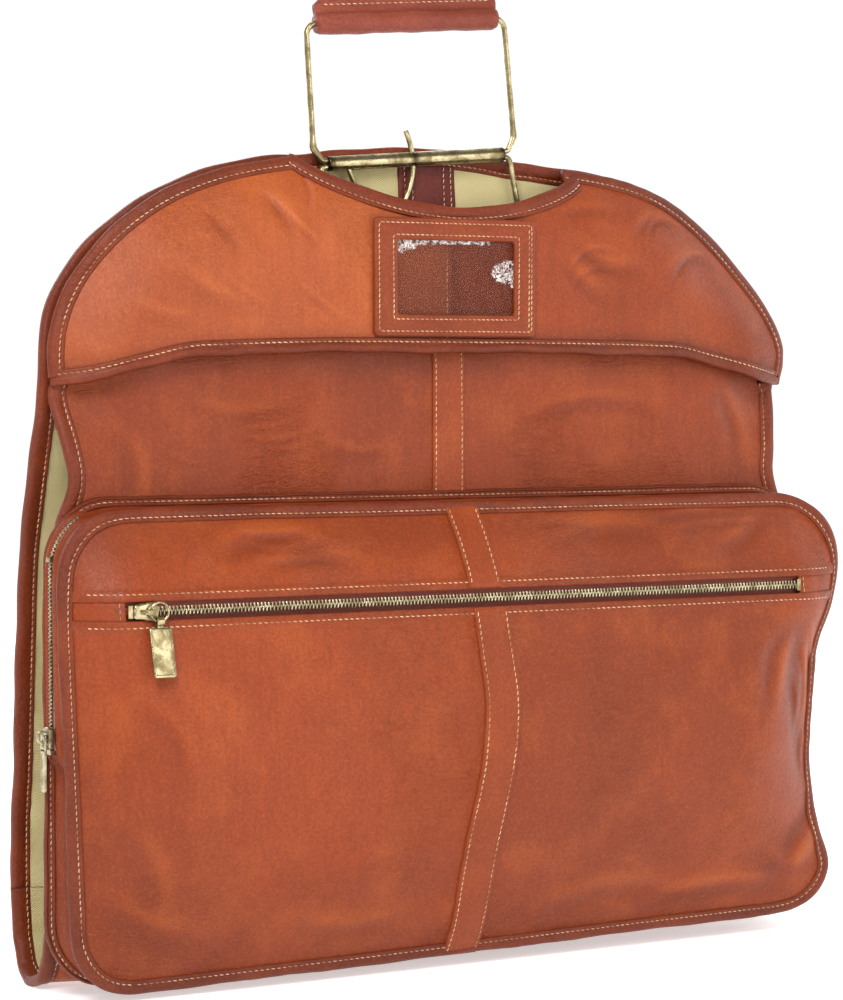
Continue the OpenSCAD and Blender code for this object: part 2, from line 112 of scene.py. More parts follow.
SIDES = ((-1, "left"), (1, "right"))
LEATHER = 2.0            # thickness of a leather panel
LINING = 0.6
BACK_Y = bag_box("fold_back")[1][1]          # outer face of the lower back panel
FRONT_Y = bag_box("front_panel")[0][1]       # outer face of the front panel
FOLD_R = bag_box("fold_back")[1][2]
FOLD_Y = BACK_Y - FOLD_R
ZIP = bag_middle("zip_teeth")
SIDE_ZIP = bag_middle("side_zip_teeth")
SIDE_ZIP_LOW = bag_box("side_zip_teeth")[0][2]
ID_MIDDLE = bag_middle("id_frame")
FOLD_END_Z = 60          # above this height the ribbon is a plain panel


# ---- small maths ----

def unit(v):
    return v / np.maximum(np.linalg.norm(v, axis=-1, keepdims=True), 1e-9)


def smooth(low, high, x):
    t = np.clip((np.asarray(x, float) - low) / (high - low), 0, 1)
    return t * t * (3 - 2 * t)


def hump(x, middle, width):
    return np.exp(-((np.asarray(x, float) - middle) / width) ** 2)


def coords(*parts):
    """Points from their coordinates, each an array or one number for all."""
    return np.stack(np.broadcast_arrays(*parts), axis=-1)


def mix(a, b, t):
    return a + (b - a) * t


def graph(pairs):
    """Smooth function through points (x, value), without overshoot."""
    xs, ys = np.array(pairs, float).T
    steps, slopes = np.diff(xs), np.diff(ys) / np.diff(xs)
    m = np.concatenate([slopes[:1], np.zeros(len(xs) - 2), slopes[-1:]])
    for k in range(1, len(xs) - 1):
        if slopes[k - 1] * slopes[k] > 0:
            m[k] = 2 * slopes[k - 1] * slopes[k] / (slopes[k - 1] + slopes[k])

    def value(x):
        x = np.clip(np.asarray(x, float), xs[0], xs[-1])
        k = np.clip(np.searchsorted(xs, x, side="right") - 1, 0, len(xs) - 2)
        t = (x - xs[k]) / steps[k]
        rise = ys[k] * (1 + 2 * t) * (1 - t) ** 2 + ys[k + 1] * t * t * (3 - 2 * t)
        return rise + steps[k] * t * (1 - t) * (m[k] * (1 - t) - m[k + 1] * t)

    return value


def spline(points, count):
    """Natural cubic through points, as count points spaced evenly in chord length."""
    p = np.array(points, float)
    t = lengths(p)
    n, h = len(p), np.diff(t)
    a, rhs = np.eye(n), np.zeros_like(p)
    for k in range(1, n - 1):
        a[k, k - 1:k + 2] = h[k - 1], 2 * (h[k - 1] + h[k]), h[k]
        rhs[k] = 6 * ((p[k + 1] - p[k]) / h[k] - (p[k] - p[k - 1]) / h[k - 1])
    bend = np.linalg.solve(a, rhs)
    at = np.linspace(0, t[-1], count)
    k = np.clip(np.searchsorted(t, at, side="right") - 1, 0, n - 2)
    u, v, s = (t[k + 1] - at)[:, None], (at - t[k])[:, None], h[k][:, None]
    line = (bend[k] * u ** 3 + bend[k + 1] * v ** 3) / (6 * s)
    return line + (p[k] / s - bend[k] * s / 6) * u + (p[k + 1] / s - bend[k + 1] * s / 6) * v


def lengths(path):
    return np.concatenate([[0], np.cumsum(np.linalg.norm(np.diff(path, axis=0), axis=1))])


def between(values, t, at):
    """Rows of values that are known at t, read at other places."""
    return coords(*(np.interp(at, t, column) for column in values.T))


def resample(path, count):
    """The same line as count points spaced evenly."""
    path = np.asarray(path, float)
    t = lengths(path)
    return between(path, t, np.linspace(0, t[-1], count))


def round_trip(loop, count):
    """A closed line as count points spaced evenly."""
    return resample(np.concatenate([loop, loop[:1]]), count + 1)[:-1]


def tangents(path, closed=False):
    if closed:
        return unit(np.roll(path, -1, axis=0) - np.roll(path, 1, axis=0))
    return unit(np.gradient(path, axis=0))


def right_of(line):
    """Unit directions to the right of a flat line, one for each of its points."""
    d = tangents(line)
    return coords(d[:, 1], -d[:, 0])


def relaxed(path, times):
    """The path with its inner points drawn toward their neighbours."""
    for _ in range(times):
        path[1:-1] = (path[:-2] + 2 * path[1:-1] + path[2:]) / 4
    return path


def evenly(path, step):
    return resample(path, max(3, int(round(lengths(np.asarray(path, float))[-1] / step)) + 1))


def bent(points, bends, turns=7):
    """A wire's line: straight lengths with a round bend of the radius in bends at each corner."""
    p = [np.array(q, float) for q in points]
    out = [p[0]]
    for before, corner, after, bend in zip(p, p[1:], p[2:], bends):
        u, v = unit(corner - before), unit(after - corner)
        angle = math.acos(np.clip(u @ v, -1, 1))
        start = corner - u * bend * math.tan(angle / 2)
        inward = unit(v - u * (u @ v))
        centre = start + inward * bend
        for w in np.linspace(0, angle, turns):
            out.append(centre + bend * (u * math.sin(w) - inward * math.cos(w)))
    return np.array(out + [p[-1]])


WAVES = 8                # sine waves in one unevenness


def ripples(x, z, size, seed):
    """Smooth unevenness between about -1 and 1, some size millimetres from crest to crest."""
    rng = np.random.default_rng(seed)
    total = 0.0
    for _ in range(WAVES):
        angle, k = rng.uniform(0, math.tau), math.tau / (size * rng.uniform(0.7, 1.5))
        total = total + np.sin(k * (x * math.cos(angle) + z * math.sin(angle)) + rng.uniform(0, math.tau))
    return total * 1.4 / WAVES


def to_line(x, z, line):
    """(distance, side, how far along from 0 to 1) of points from a line of points (x, z)."""
    line = np.asarray(line, float)
    t = lengths(line)
    best = np.full(np.shape(x), 1e9)
    side, along = np.zeros(np.shape(x)), np.zeros(np.shape(x))
    for a, b, t0, t1 in zip(line, line[1:], t, t[1:]):
        d = b - a
        s = np.clip(((x - a[0]) * d[0] + (z - a[1]) * d[1]) / (d @ d), 0, 1)
        dx, dz = x - a[0] - s * d[0], z - a[1] - s * d[1]
        far = np.hypot(dx, dz)
        near = far < best
        best = np.where(near, far, best)
        side = np.where(near, np.sign(d[0] * dz - d[1] * dx), side)
        along = np.where(near, (t0 + s * (t1 - t0)) / t[-1], along)
    return best, side, along


def creases(x, z, lines):
    """Outward relief of creases, each (depth, width, line): a groove with a raised lip."""
    relief = np.zeros(np.shape(x))
    for depth, width, line in lines:
        path = spline(line, 14) if len(line) > 2 else np.array(line, float)
        far, side, along = to_line(x, z, path)
        fade = np.sin(math.pi * np.clip(along, 0.02, 0.98)) ** 0.6
        relief += depth * fade * (0.7 * hump(far * side, 1.7 * width, width) - hump(far, 0, width))
    return relief


# ---- meshes ----

class Form:
    """Vertices, faces and one UV a vertex, gathered into one mesh."""

    def __init__(self):
        self.verts, self.faces, self.uvs, self.count = [], [], [], 0

    def add(self, verts, faces, uv=None):
        verts = np.asarray(verts, float).reshape(-1, 3)
        self.verts.append(verts)
        self.uvs.append(np.zeros((len(verts), 2)) if uv is None else np.asarray(uv, float).reshape(-1, 2))
        self.faces.extend((np.asarray(f) + self.count).tolist() for f in faces)
        self.count += len(verts)
        return self

    def join(self, other):
        for verts, uv in zip(other.verts, other.uvs):
            self.verts.append(verts)
            self.uvs.append(uv)
        self.faces.extend([i + self.count for i in f] for f in other.faces)
        self.count += other.count
        return self


def grid_faces(rows, cols, closed=False, flip=False):
    """Quads of a grid whose columns may close on themselves."""
    i, j = np.meshgrid(np.arange(rows - 1), np.arange(cols if closed else cols - 1), indexing="ij")
    a, b = i * cols + j, i * cols + (j + 1) % cols
    quads = coords(a, b, b + cols, a + cols).reshape(-1, 4)
    return quads[:, ::-1] if flip else quads


def grid_normals(p, toward):
    """Unit normals of a grid of points, on the side that toward points to."""
    n = unit(np.cross(np.gradient(p, axis=1), np.gradient(p, axis=0)))
    return n if (n @ np.array(toward, float)).mean() > 0 else -n


def sheet_form(outer, thick, toward, closed=False):
    """Closed sheet with rounded edges: the outer grid, its copy one thickness inside, and their rim.

    With closed, the grid's columns run round a ring.
    """
    rows, cols = outer.shape[:2]
    if closed:
        wrapped = np.concatenate([outer[:, -2:], outer, outer[:, :2]], axis=1)
        n = grid_normals(wrapped, toward)[:, 2:-2]
    else:
        n = grid_normals(outer, toward)
    flip = bool((np.cross(outer[0, 1] - outer[0, 0], outer[1, 0] - outer[0, 0]) @ n[0, 0]) < 0)
    uv = np.stack(np.meshgrid(lengths(outer[rows // 2]), lengths(outer[:, cols // 2])), axis=-1) * MM
    form = Form()
    form.add(outer, grid_faces(rows, cols, closed, flip), uv)
    form.add(outer - n * thick, grid_faces(rows, cols, closed, not flip), uv)
    area = rows * cols
    if closed:
        rims = [(np.arange(cols), 1), (np.arange(cols) + (rows - 1) * cols, -1)]
    else:
        top, bottom = np.arange(cols), np.arange(cols) + (rows - 1) * cols
        right, left = np.arange(rows) * cols + cols - 1, np.arange(rows) * cols
        rims = [(np.concatenate([top, right[1:], bottom[-2::-1], left[-2:0:-1]]), 1)]
    flat, flat_n, flat_uv = outer.reshape(-1, 3), n.reshape(-1, 3), uv.reshape(-1, 2)
    for loop, turn in rims:
        i, j = loop // cols, loop % cols
        inward = np.clip(i, 1, rows - 2) * cols + (j if closed else np.clip(j, 1, cols - 2))
        out = flat[loop] - flat[inward]
        out = unit(out - flat_n[loop] * (out * flat_n[loop]).sum(1, keepdims=True))
        rings = [flat[loop] - flat_n[loop] * thick / 2 * (1 - math.cos(w)) + out * thick / 2 * math.sin(w)
                 for w in (math.radians(45), math.radians(90), math.radians(135))]
        start = form.count
        form.add(np.concatenate(rings), [], np.tile(flat_uv[loop], (3, 1)))
        size = len(loop)
        chain = [loop, start + np.arange(size), start + size + np.arange(size),
                 start + 2 * size + np.arange(size), loop + area]
        for upper, lower in zip(chain, chain[1:]):
            quads = coords(upper, np.roll(upper, -1), np.roll(lower, -1), lower)
            form.faces.extend((quads if (turn < 0) != flip else quads[:, ::-1]).tolist())
    return form


def sweep_form(path, up, profile, closed=False, scale=None):
    """A profile of (across, up) points carried along a path.

    Across is the tangent crossed with up. scale(k, profile) may reshape the profile at point k.
    """
    path, profile = np.asarray(path, float), np.asarray(profile, float)
    count, size = len(path), len(profile)
    tangent = tangents(path, closed)
    up = np.broadcast_to(np.asarray(up, float), path.shape)
    across = unit(np.cross(tangent, up))
    up = np.cross(across, tangent)
    shapes = np.stack([profile if scale is None else scale(k, profile) for k in range(count)])
    verts = path[:, None] + shapes[..., :1] * across[:, None] + shapes[..., 1:] * up[:, None]
    uv = np.stack(np.meshgrid(lengths(profile), lengths(path)), axis=-1) * MM
    ring = profile - profile.mean(0)
    turning = (ring[:, 0] * np.roll(ring[:, 1], -1) - ring[:, 1] * np.roll(ring[:, 0], -1)).sum()
    flip = turning > 0
    form = Form()
    if closed:
        quads = grid_faces(count + 1, size, True, flip)
        form.add(verts, quads % (count * size), uv)
    else:
        form.add(verts, grid_faces(count, size, True, flip), uv)
        first, last = np.arange(size), np.arange(size) + (count - 1) * size
        form.faces.append((first if flip else first[::-1]).tolist())
        form.faces.append((last[::-1] if flip else last).tolist())
    return form


def circle(radius, sides=16):
    w = np.arange(sides) * math.tau / sides
    return coords(radius * np.cos(w), radius * np.sin(w))


def rounded_box(low, high, r, sides=3):
    """Profile of a rectangle between two corners with rounded corners."""
    (x0, y0), (x1, y1) = low, high
    out = []
    corners = ((x1 - r, y1 - r), (x0 + r, y1 - r), (x0 + r, y0 + r), (x1 - r, y0 + r))
    for quarter, (cx, cy) in enumerate(corners):
        for k in range(sides + 1):
            w = math.radians(90 * quarter + 90 * k / sides)
            out.append((cx + r * math.cos(w), cy + r * math.sin(w)))
    return np.array(out)


def stacked(loops, uv=None):
    """Closed solid of loops of points, all of one count, laid one on the other; its ends are capped."""
    size = len(loops[0])
    form = Form().add(np.concatenate(loops), grid_faces(len(loops), size, True), uv)
    form.faces.append(np.arange(size)[::-1].tolist())
    form.faces.append((np.arange(size) + (len(loops) - 1) * size).tolist())
    return form


MADE = {}                # each new piece by the name it was given


def piece(name, form, material, body=None, replaces=None, slot=None, recalc=False, sharp=None):
    """Makes the mesh object, in metres, ties it to its body and hides the CAD nodes it replaces.

    It replaces the node of its own name, unless others are given. Its slot, given or its material's usual
    one, is worked out but not used.
    """
    replaces = [name] if replaces is None else replaces
    slot = slot or usual_slot(material)
    mesh = bpy.data.meshes.new(name)
    verts = row(np.concatenate(form.verts))
    mesh.from_pydata(verts.tolist(), [], form.faces)
    uv = np.concatenate(form.uvs)
    loops = np.empty(len(mesh.loops), np.int32)
    mesh.loops.foreach_get("vertex_index", loops)
    layer = mesh.uv_layers.new(name="Flat")
    layer.data.foreach_set("uv", uv[loops].astype(np.float32).ravel())
    if recalc:
        bm = bmesh.new()
        bm.from_mesh(mesh)
        bmesh.ops.recalc_face_normals(bm, faces=bm.faces)
        bm.to_mesh(mesh)
        bm.free()
    mesh.polygons.foreach_set("use_smooth", [True] * len(mesh.polygons))
    mesh.materials.append(material)
    if sharp is not None:
        mesh.set_sharp_from_angle(angle=math.radians(sharp))
    mesh.update()
    obj = bpy.data.objects.new(name, mesh)
    bpy.context.collection.objects.link(obj)
    MADE[name] = obj
    if replaces:
        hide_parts(*replaces)
    if body:
        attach(obj, body)
    return obj


# ---- stitching ----

THREAD = {}              # body -> Form that holds all the thread on it
STITCH_PITCH = 4.1
STITCH_LENGTH = 3.1
THREAD_R = 0.42


def stitch(body, path, up, pitch=STITCH_PITCH, lift=0.1, slant=9.0):
    """A row of raised stitches along a path on a surface whose normals are up."""
    path = np.asarray(path, float)
    up = np.broadcast_to(np.asarray(up, float), path.shape)
    t = lengths(path)
    count = int(t[-1] / pitch)
    if count < 1:
        return
    at = (np.arange(count) + 0.5) * t[-1] / count
    middle, normal = between(path, t, at), unit(between(up, t, at))
    along = unit(between(path, t, np.minimum(at + 1, t[-1])) - between(path, t, np.maximum(at - 1, 0)))
    side = np.cross(along, normal)
    w = math.radians(slant)
    along, side = along * math.cos(w) + side * math.sin(w), side * math.cos(w) - along * math.sin(w)
    half = STITCH_LENGTH / 2
    # each ring's place along, radius and rise, in half stitch lengths and thread radii
    rings = [(-1.0, 0.25, -0.45), (-0.72, 0.85, 0.0), (0.0, 1.0, 0.35), (0.72, 0.85, 0.0), (1.0, 0.25, -0.45)]
    sides = 6
    angle = np.arange(sides) * math.tau / sides
    verts = np.empty((count, len(rings), sides, 3))
    for k, (s, r, rise) in enumerate(rings):
        centre = middle + along * half * s + normal * (lift + THREAD_R * rise)
        for q, v in enumerate(angle):
            verts[:, k, q] = centre + THREAD_R * r * (side * math.cos(v) + normal * math.sin(v))
    caps = [np.arange(sides)[::-1], np.arange(sides) + (len(rings) - 1) * sides]
    form = THREAD.setdefault(body, Form())
    for one in verts:
        form.add(one, [*grid_faces(len(rings), sides, True), *caps])


# ---- surfaces that are a depth y over (x, z) ----

def on(surface, xz, lift=0.0):
    """(points, outward normals) of a front surface at (x, z); lift moves the points outward."""
    x, z = np.asarray(xz, float)[..., 0], np.asarray(xz, float)[..., 1]
    y = surface(x, z)
    e = 0.8
    dx = (surface(x + e, z) - surface(x - e, z)) / (2 * e)
    dz = (surface(x, z + e) - surface(x, z - e)) / (2 * e)
    n = unit(coords(dx, -1.0, dz))
    return coords(x, y, z) + n * lift, n


# ---- materials ----

class Nodes:
    """A material's node tree, with sockets given as values or as other nodes' outputs."""

    def __init__(self, name):
        self.material = bpy.data.materials.new(name)
        self.material.use_nodes = True
        self.tree = self.material.node_tree
        self.shader = self.tree.nodes["Principled BSDF"]

    def set(self, socket, value):
        if isinstance(value, bpy.types.NodeSocket):
            self.tree.links.new(value, socket)
        else:
            socket.default_value = value

    def node(self, kind, inputs=(), **settings):
        n = self.tree.nodes.new(kind)
        for key, value in settings.items():
            setattr(n, key, value)
        for key, value in dict(inputs).items():
            self.set(n.inputs[key], value)
        return n

    def place(self):
        return self.node("ShaderNodeTexCoord").outputs["Object"]

    def flat(self):
        return self.node("ShaderNodeUVMap", uv_map="Flat").outputs["UV"]

    def stretch(self, vector, scale):
        return self.node("ShaderNodeMapping", {"Vector": vector, "Scale": scale}).outputs[0]

    def noise(self, vector, scale, detail=2.0, roughness=0.5, distortion=0.0):
        return self.node("ShaderNodeTexNoise", {
            "Vector": vector, "Scale": scale, "Detail": detail, "Roughness": roughness,
            "Distortion": distortion,
        }).outputs["Fac"]

    def cells(self, vector, scale, feature):
        found = self.node("ShaderNodeTexVoronoi", {"Vector": vector, "Scale": scale}, feature=feature)
        return found.outputs["Distance"]

    def math(self, operation, a, b=0.0, c=0.0):
        return self.node("ShaderNodeMath", {0: a, 1: b, 2: c}, operation=operation).outputs[0]

    def add(self, a, b):
        return self.math("ADD", a, b)

    def times(self, a, b):
        return self.math("MULTIPLY", a, b)

    def remap(self, value, low, high, to_low=0.0, to_high=1.0):
        return self.node("ShaderNodeMapRange", {
            "Value": value, "From Min": low, "From Max": high, "To Min": to_low, "To Max": to_high,
        }, interpolation_type="SMOOTHSTEP").outputs[0]

    def blend(self, factor, a, b, how="MIX"):
        n = self.node("ShaderNodeMix", data_type="RGBA", blend_type=how)
        self.set(n.inputs["Factor"], factor)
        self.set(n.inputs["A"], a)
        self.set(n.inputs["B"], b)
        return n.outputs["Result"]

    def painted(self, name):
        """A value kept on the mesh's points, such as how near a seam is."""
        return self.node("ShaderNodeAttribute", attribute_name=name).outputs["Fac"]

    def bump(self, height, distance):
        inputs = {"Height": height, "Distance": distance, "Strength": 1.0}
        return self.node("ShaderNodeBump", inputs).outputs[0]

    def finish(self, **inputs):
        for key, value in inputs.items():
            self.set(self.shader.inputs[key.replace("_", " ")], value)
        return self.material


def rgb(r, g, b):
    """Display red, green and blue from 0 to 255 as a linear colour."""
    return tuple(((v / 255 + 0.055) / 1.055) ** 2.4 for v in (r, g, b)) + (1.0,)


def leather(name, dark, base, light, rough=0.42, grain=1.0, pebble=0.5, seed=0.0):
    """Smooth dyed hide: cloudy colour, faint streaks, fine pores and patches of crinkled grain, darker near
    seams, with painted shade in crease grooves and a painted highlight on their lips.
    """
    n = Nodes(name)
    at = n.stretch(n.place(), (1, 1, 1))
    at.node.inputs["Location"].default_value = (seed, seed * 0.7, -seed)
    clouds = n.noise(at, 5.5, 3.0, 0.5, 0.3)
    patches = n.noise(at, 26, 3.0, 0.55, 0.2)
    streaks = n.noise(n.stretch(at, (260, 260, 24)), 1.0, 3.0, 0.6)
    mottle = n.noise(at, 520, 3.0, 0.7)
    fine = n.noise(at, 1300, 2.0, 0.6)
    colour = n.blend(n.remap(clouds, 0.30, 0.66, 0.45, 1.0), dark, base)
    colour = n.blend(n.remap(patches, 0.42, 0.78, 0.0, 0.3), colour, light)
    colour = n.blend(n.remap(streaks, 0.40, 0.72, 0.0, 0.22), colour, dark)
    # Values kept on the mesh: the first darkens near seams, the second is painted shade in creases and the
    # third a painted highlight on crease lips.
    for attribute, share, tone in (("seam", 0.5, dark), ("shade_and_stain", 0.6, dark), ("crease_highlight", 0.5, light)):
        colour = n.blend(n.times(n.painted(attribute), share), colour, tone)
    colour = n.blend(n.remap(mottle, 0.45, 0.70, 0.0, 0.34), colour, dark)
    colour = n.blend(n.remap(mottle, 0.30, 0.50, 0.22, 0.0), colour, light)
    colour = n.blend(n.remap(fine, 0.45, 0.70, 0.0, 0.25), colour, dark)
    where = n.remap(n.noise(at, 11, 2.0, 0.5), 0.48, 0.62)
    crinkle = n.noise(n.stretch(at, (95, 95, 210)), 1.0, 4.0, 0.62, 1.6)
    crinkle = n.math("POWER", n.remap(crinkle, 0.34, 0.62), 0.7)
    cell_edges = n.remap(n.cells(at, 560, "DISTANCE_TO_EDGE"), 0.0, 0.25)
    height = n.times(cell_edges, n.math("MULTIPLY_ADD", where, pebble, 0.12))
    height = n.add(height, n.times(n.times(crinkle, where), 1.2))
    height = n.add(height, n.times(mottle, 0.8))
    height = n.add(height, n.times(fine, 0.5))
    roughness = n.remap(mottle, 0.3, 0.75, rough - 0.04, rough + 0.10)
    return n.finish(Base_Color=colour, Roughness=roughness, Normal=n.bump(height, 0.00036 * grain), IOR=1.45,
                    Specular_IOR_Level=0.32)


def twill():
    """Khaki cotton lining: a diagonal weave of raised threads, slubs and a soft sheen."""
    n = Nodes("twill_lining")
    at, flat = n.place(), n.flat()
    wobble = n.times(n.noise(flat, 180, 2.0), 1.6)
    parts = n.node("ShaderNodeSeparateXYZ", {0: flat}).outputs
    rib = n.add(n.times(parts[0], 2600.0), n.times(parts[1], 4300.0))
    rib = n.add(rib, wobble)
    ribs = n.math("MULTIPLY_ADD", n.math("SINE", rib), 0.5, 0.5)
    cross = n.add(n.times(parts[0], 7800.0), n.times(parts[1], -5200.0))
    threads = n.math("MULTIPLY_ADD", n.math("SINE", n.add(cross, wobble)), 0.5, 0.5)
    weave = n.add(n.times(ribs, 0.75), n.times(threads, 0.25))
    shade = n.noise(at, 18, 3.0, 0.55)
    colour = n.blend(weave, rgb(158, 142, 88), rgb(226, 212, 162))
    colour = n.blend(n.remap(shade, 0.35, 0.7, 0.0, 0.3), colour, rgb(176, 160, 106))
    return n.finish(Base_Color=colour, Roughness=0.78, Normal=n.bump(weave, 0.00022), Sheen_Weight=0.25,
                    Sheen_Roughness=0.45)


def brass(name, bright, dull, stain_and_shade, rough=0.27, patina=0.5):
    """Antiqued plated metal: bright and dull in patches, stained brown in spots, with fine scratches, and
    painted shade in the stain colour where a piece holds it on its points.
    """
    n = Nodes(name)
    at = n.place()
    patches = n.noise(at, 95, 4.0, 0.62, 0.5)
    spots = n.noise(at, 700, 3.0, 0.6)
    scratches = n.noise(n.stretch(at, (500, 500, 4200)), 1.0, 2.0, 0.6)
    colour = n.blend(n.remap(patches, 0.38, 0.62), bright, dull)
    colour = n.blend(n.remap(spots, 0.56, 0.74, 0.0, patina), colour, stain_and_shade)
    # Painted shade, mixed with stain, where a piece holds it on its points: the hanger bar's ends and middle.
    colour = n.blend(n.times(n.painted("shade_and_stain"), 0.9), colour, stain_and_shade)
    roughness = n.add(n.remap(patches, 0.3, 0.7, rough - 0.06, rough + 0.1),
                       n.remap(scratches, 0.4, 0.8, 0.0, 0.1))
    height = n.add(n.times(scratches, 0.4), spots)
    return n.finish(Base_Color=colour, Metallic=1.0, Roughness=roughness, Normal=n.bump(height, 0.000012))


def woven_tape(name, light, dark):
    """Zip tape: fine herringbone ribs along its length."""
    n = Nodes(name)
    flat = n.flat()
    parts = n.node("ShaderNodeSeparateXYZ", {0: flat}).outputs
    zig = n.math("PINGPONG", n.times(parts[0], 1000.0), 1.4)
    ribs = n.math("SINE", n.add(n.times(parts[1], 7500.0), n.times(zig, 2.6)))
    weave = n.math("MULTIPLY_ADD", ribs, 0.5, 0.5)
    colour = n.blend(weave, dark, light)
    return n.finish(Base_Color=colour, Roughness=0.82, Normal=n.bump(weave, 0.00012), Sheen_Weight=0.3,
                    Sheen_Roughness=0.4)


def waxed_thread():
    n = Nodes("cream_thread")
    at = n.place()
    dirt = n.noise(at, 60, 3.0, 0.6)
    twist = n.noise(n.stretch(at, (1, 1, 1)), 2600, 1.0)
    colour = n.blend(n.remap(dirt, 0.34, 0.62), rgb(150, 94, 60), rgb(214, 176, 132))
    colour = n.blend(n.remap(twist, 0.4, 0.7, 0.0, 0.4), colour, rgb(150, 104, 74))
    return n.finish(Base_Color=colour, Roughness=0.6, Normal=n.bump(twist, 0.00008), Sheen_Weight=0.15,
                    Sheen_Roughness=0.5)


def clear_sheet():
    """Thin vinyl: clear and glossy, with painted white glare over some haze in its corners, speckled by
    scuffs, and a dark brown tint that is partly the film's own and partly painted shade on the leather behind
    it.
    """
    n = Nodes("clear_plastic")
    at = n.place()
    # Painted glare: white where the film holds it on its points, speckled by scuffs; a little random haze is
    # added everywhere.
    painted_glare = n.remap(n.painted("painted_glare"), 0.35, 0.75)
    scuffs_and_glints = n.noise(at, 420, 4.0, 0.7, 1.5)
    glare_and_haze = n.times(painted_glare, n.remap(scuffs_and_glints, 0.43, 0.64, 0.05, 0.85))
    glare_and_haze = n.add(glare_and_haze, n.remap(n.noise(at, 150, 5.0, 0.7), 0.62, 0.76, 0.0, 0.22))
    alpha = n.math("MULTIPLY_ADD", glare_and_haze, 0.68, 0.24)
    # Dark brown where there is no glare, partly the film's tint and partly painted shade on the leather seen
    # through it; white where there is painted glare.
    shade_and_glare_tint = n.blend(n.remap(glare_and_haze, 0.1, 0.5), rgb(84, 42, 32), rgb(226, 218, 212))
    return n.finish(Base_Color=shade_and_glare_tint, Roughness=0.12, Alpha=alpha, IOR=1.4, Specular_IOR_Level=0.3,
                    Normal=n.bump(scuffs_and_glints, 0.00008))


def floor_paint():
    n = Nodes("studio_floor")
    tone = n.noise(n.place(), 2.0, 3.0, 0.5)
    colour = n.blend(tone, rgb(243, 243, 243), rgb(247, 247, 247))
    return n.finish(Base_Color=colour, Roughness=0.85, Emission_Color=(1, 1, 1, 1), Emission_Strength=0.5)


COGNAC = leather("cognac_leather", rgb(124, 52, 22), rgb(160, 76, 33), rgb(190, 102, 50))
COGNAC_RIGHT = leather("cognac_leather_right", rgb(100, 37, 10), rgb(138, 55, 16), rgb(170, 82, 30), seed=3.1)
POCKET_HIDE = leather("cognac_leather_pocket", rgb(102, 38, 10), rgb(142, 57, 16), rgb(178, 88, 32), seed=7.3)
STRAP_HIDE = leather("cognac_leather_strap", rgb(112, 43, 12), rgb(143, 59, 18), rgb(178, 88, 34),
                     rough=0.40, seed=5.7)
BINDING = leather("binding_leather", rgb(78, 28, 10), rgb(111, 42, 15), rgb(150, 68, 30),
                  rough=0.44, grain=0.8, pebble=0.3, seed=1.7)
INNER = leather("inner_leather", rgb(78, 26, 20), rgb(104, 38, 28), rgb(130, 54, 40), rough=0.5, seed=2.9)
GRIP = leather("grip_leather", rgb(98, 40, 26), rgb(130, 57, 39), rgb(166, 86, 62),
               rough=0.40, grain=0.9, pebble=0.4, seed=9.1)
TWILL = twill()
BRASS = brass("antique_brass", rgb(184, 170, 132), rgb(130, 115, 80), rgb(52, 41, 26))
NICKEL = brass("nickel_teeth", rgb(190, 180, 148), rgb(142, 129, 98), rgb(58, 46, 30), rough=0.27, patina=0.4)
TAPE = woven_tape("zip_tape", rgb(150, 78, 62), rgb(104, 46, 38))
EDGE_TAPE = woven_tape("zip_tape_pink", rgb(196, 134, 124), rgb(150, 92, 84))
THREAD_CREAM = waxed_thread()
CLEAR = clear_sheet()
USUAL_SLOTS = {
    "cognac_leather": (COGNAC, COGNAC_RIGHT, POCKET_HIDE, STRAP_HIDE, THREAD_CREAM),
    "binding_leather": (BINDING, INNER),
    "grip_leather": (GRIP,),
    "twill_lining": (TWILL,),
    "antique_brass": (BRASS,),
    "nickel_teeth": (NICKEL,),
    "zip_tape": (TAPE, EDGE_TAPE),
    "clear_plastic": (CLEAR,),
}


def usual_slot(material):
    return next(slot for slot, materials in USUAL_SLOTS.items() if material in materials)


# ---- camera, light and floor ----

def point_at(obj, target):
    obj.rotation_euler = (Vector(target) - obj.location).to_track_quat("-Z", "Y").to_euler()


def make_camera():
    """A long lens from 28 degrees round to the left, a little above the bag's middle."""
    turn, drop, distance = math.radians(28), math.radians(2.479), 1960
    data = bpy.data.cameras.new("camera")
    data.sensor_fit, data.sensor_width, data.lens = "HORIZONTAL", 36.0, 123.29
    data.clip_start, data.clip_end = 0.05, 60
    camera = bpy.data.objects.new("camera", data)
    bpy.context.collection.objects.link(camera)
    stand = np.array([-23.4 - distance * math.sin(turn), -17 - distance * math.cos(turn), 402])
    camera.location = row(stand).tolist()
    ahead = Vector((math.sin(turn) * math.cos(drop), math.cos(turn) * math.cos(drop), -math.sin(drop)))
    camera.rotation_euler = ahead.to_track_quat("-Z", "Y").to_euler()
    bpy.context.scene.camera = camera


def soft_light(name, where, target, size, power):
    data = bpy.data.lights.new(name, "AREA")
    data.shape, data.size, data.size_y = "RECTANGLE", size[0], size[1]
    data.energy = power
    light = bpy.data.objects.new(name, data)
    bpy.context.collection.objects.link(light)
    light.location = row(where).tolist()
    point_at(light, row(target).tolist())


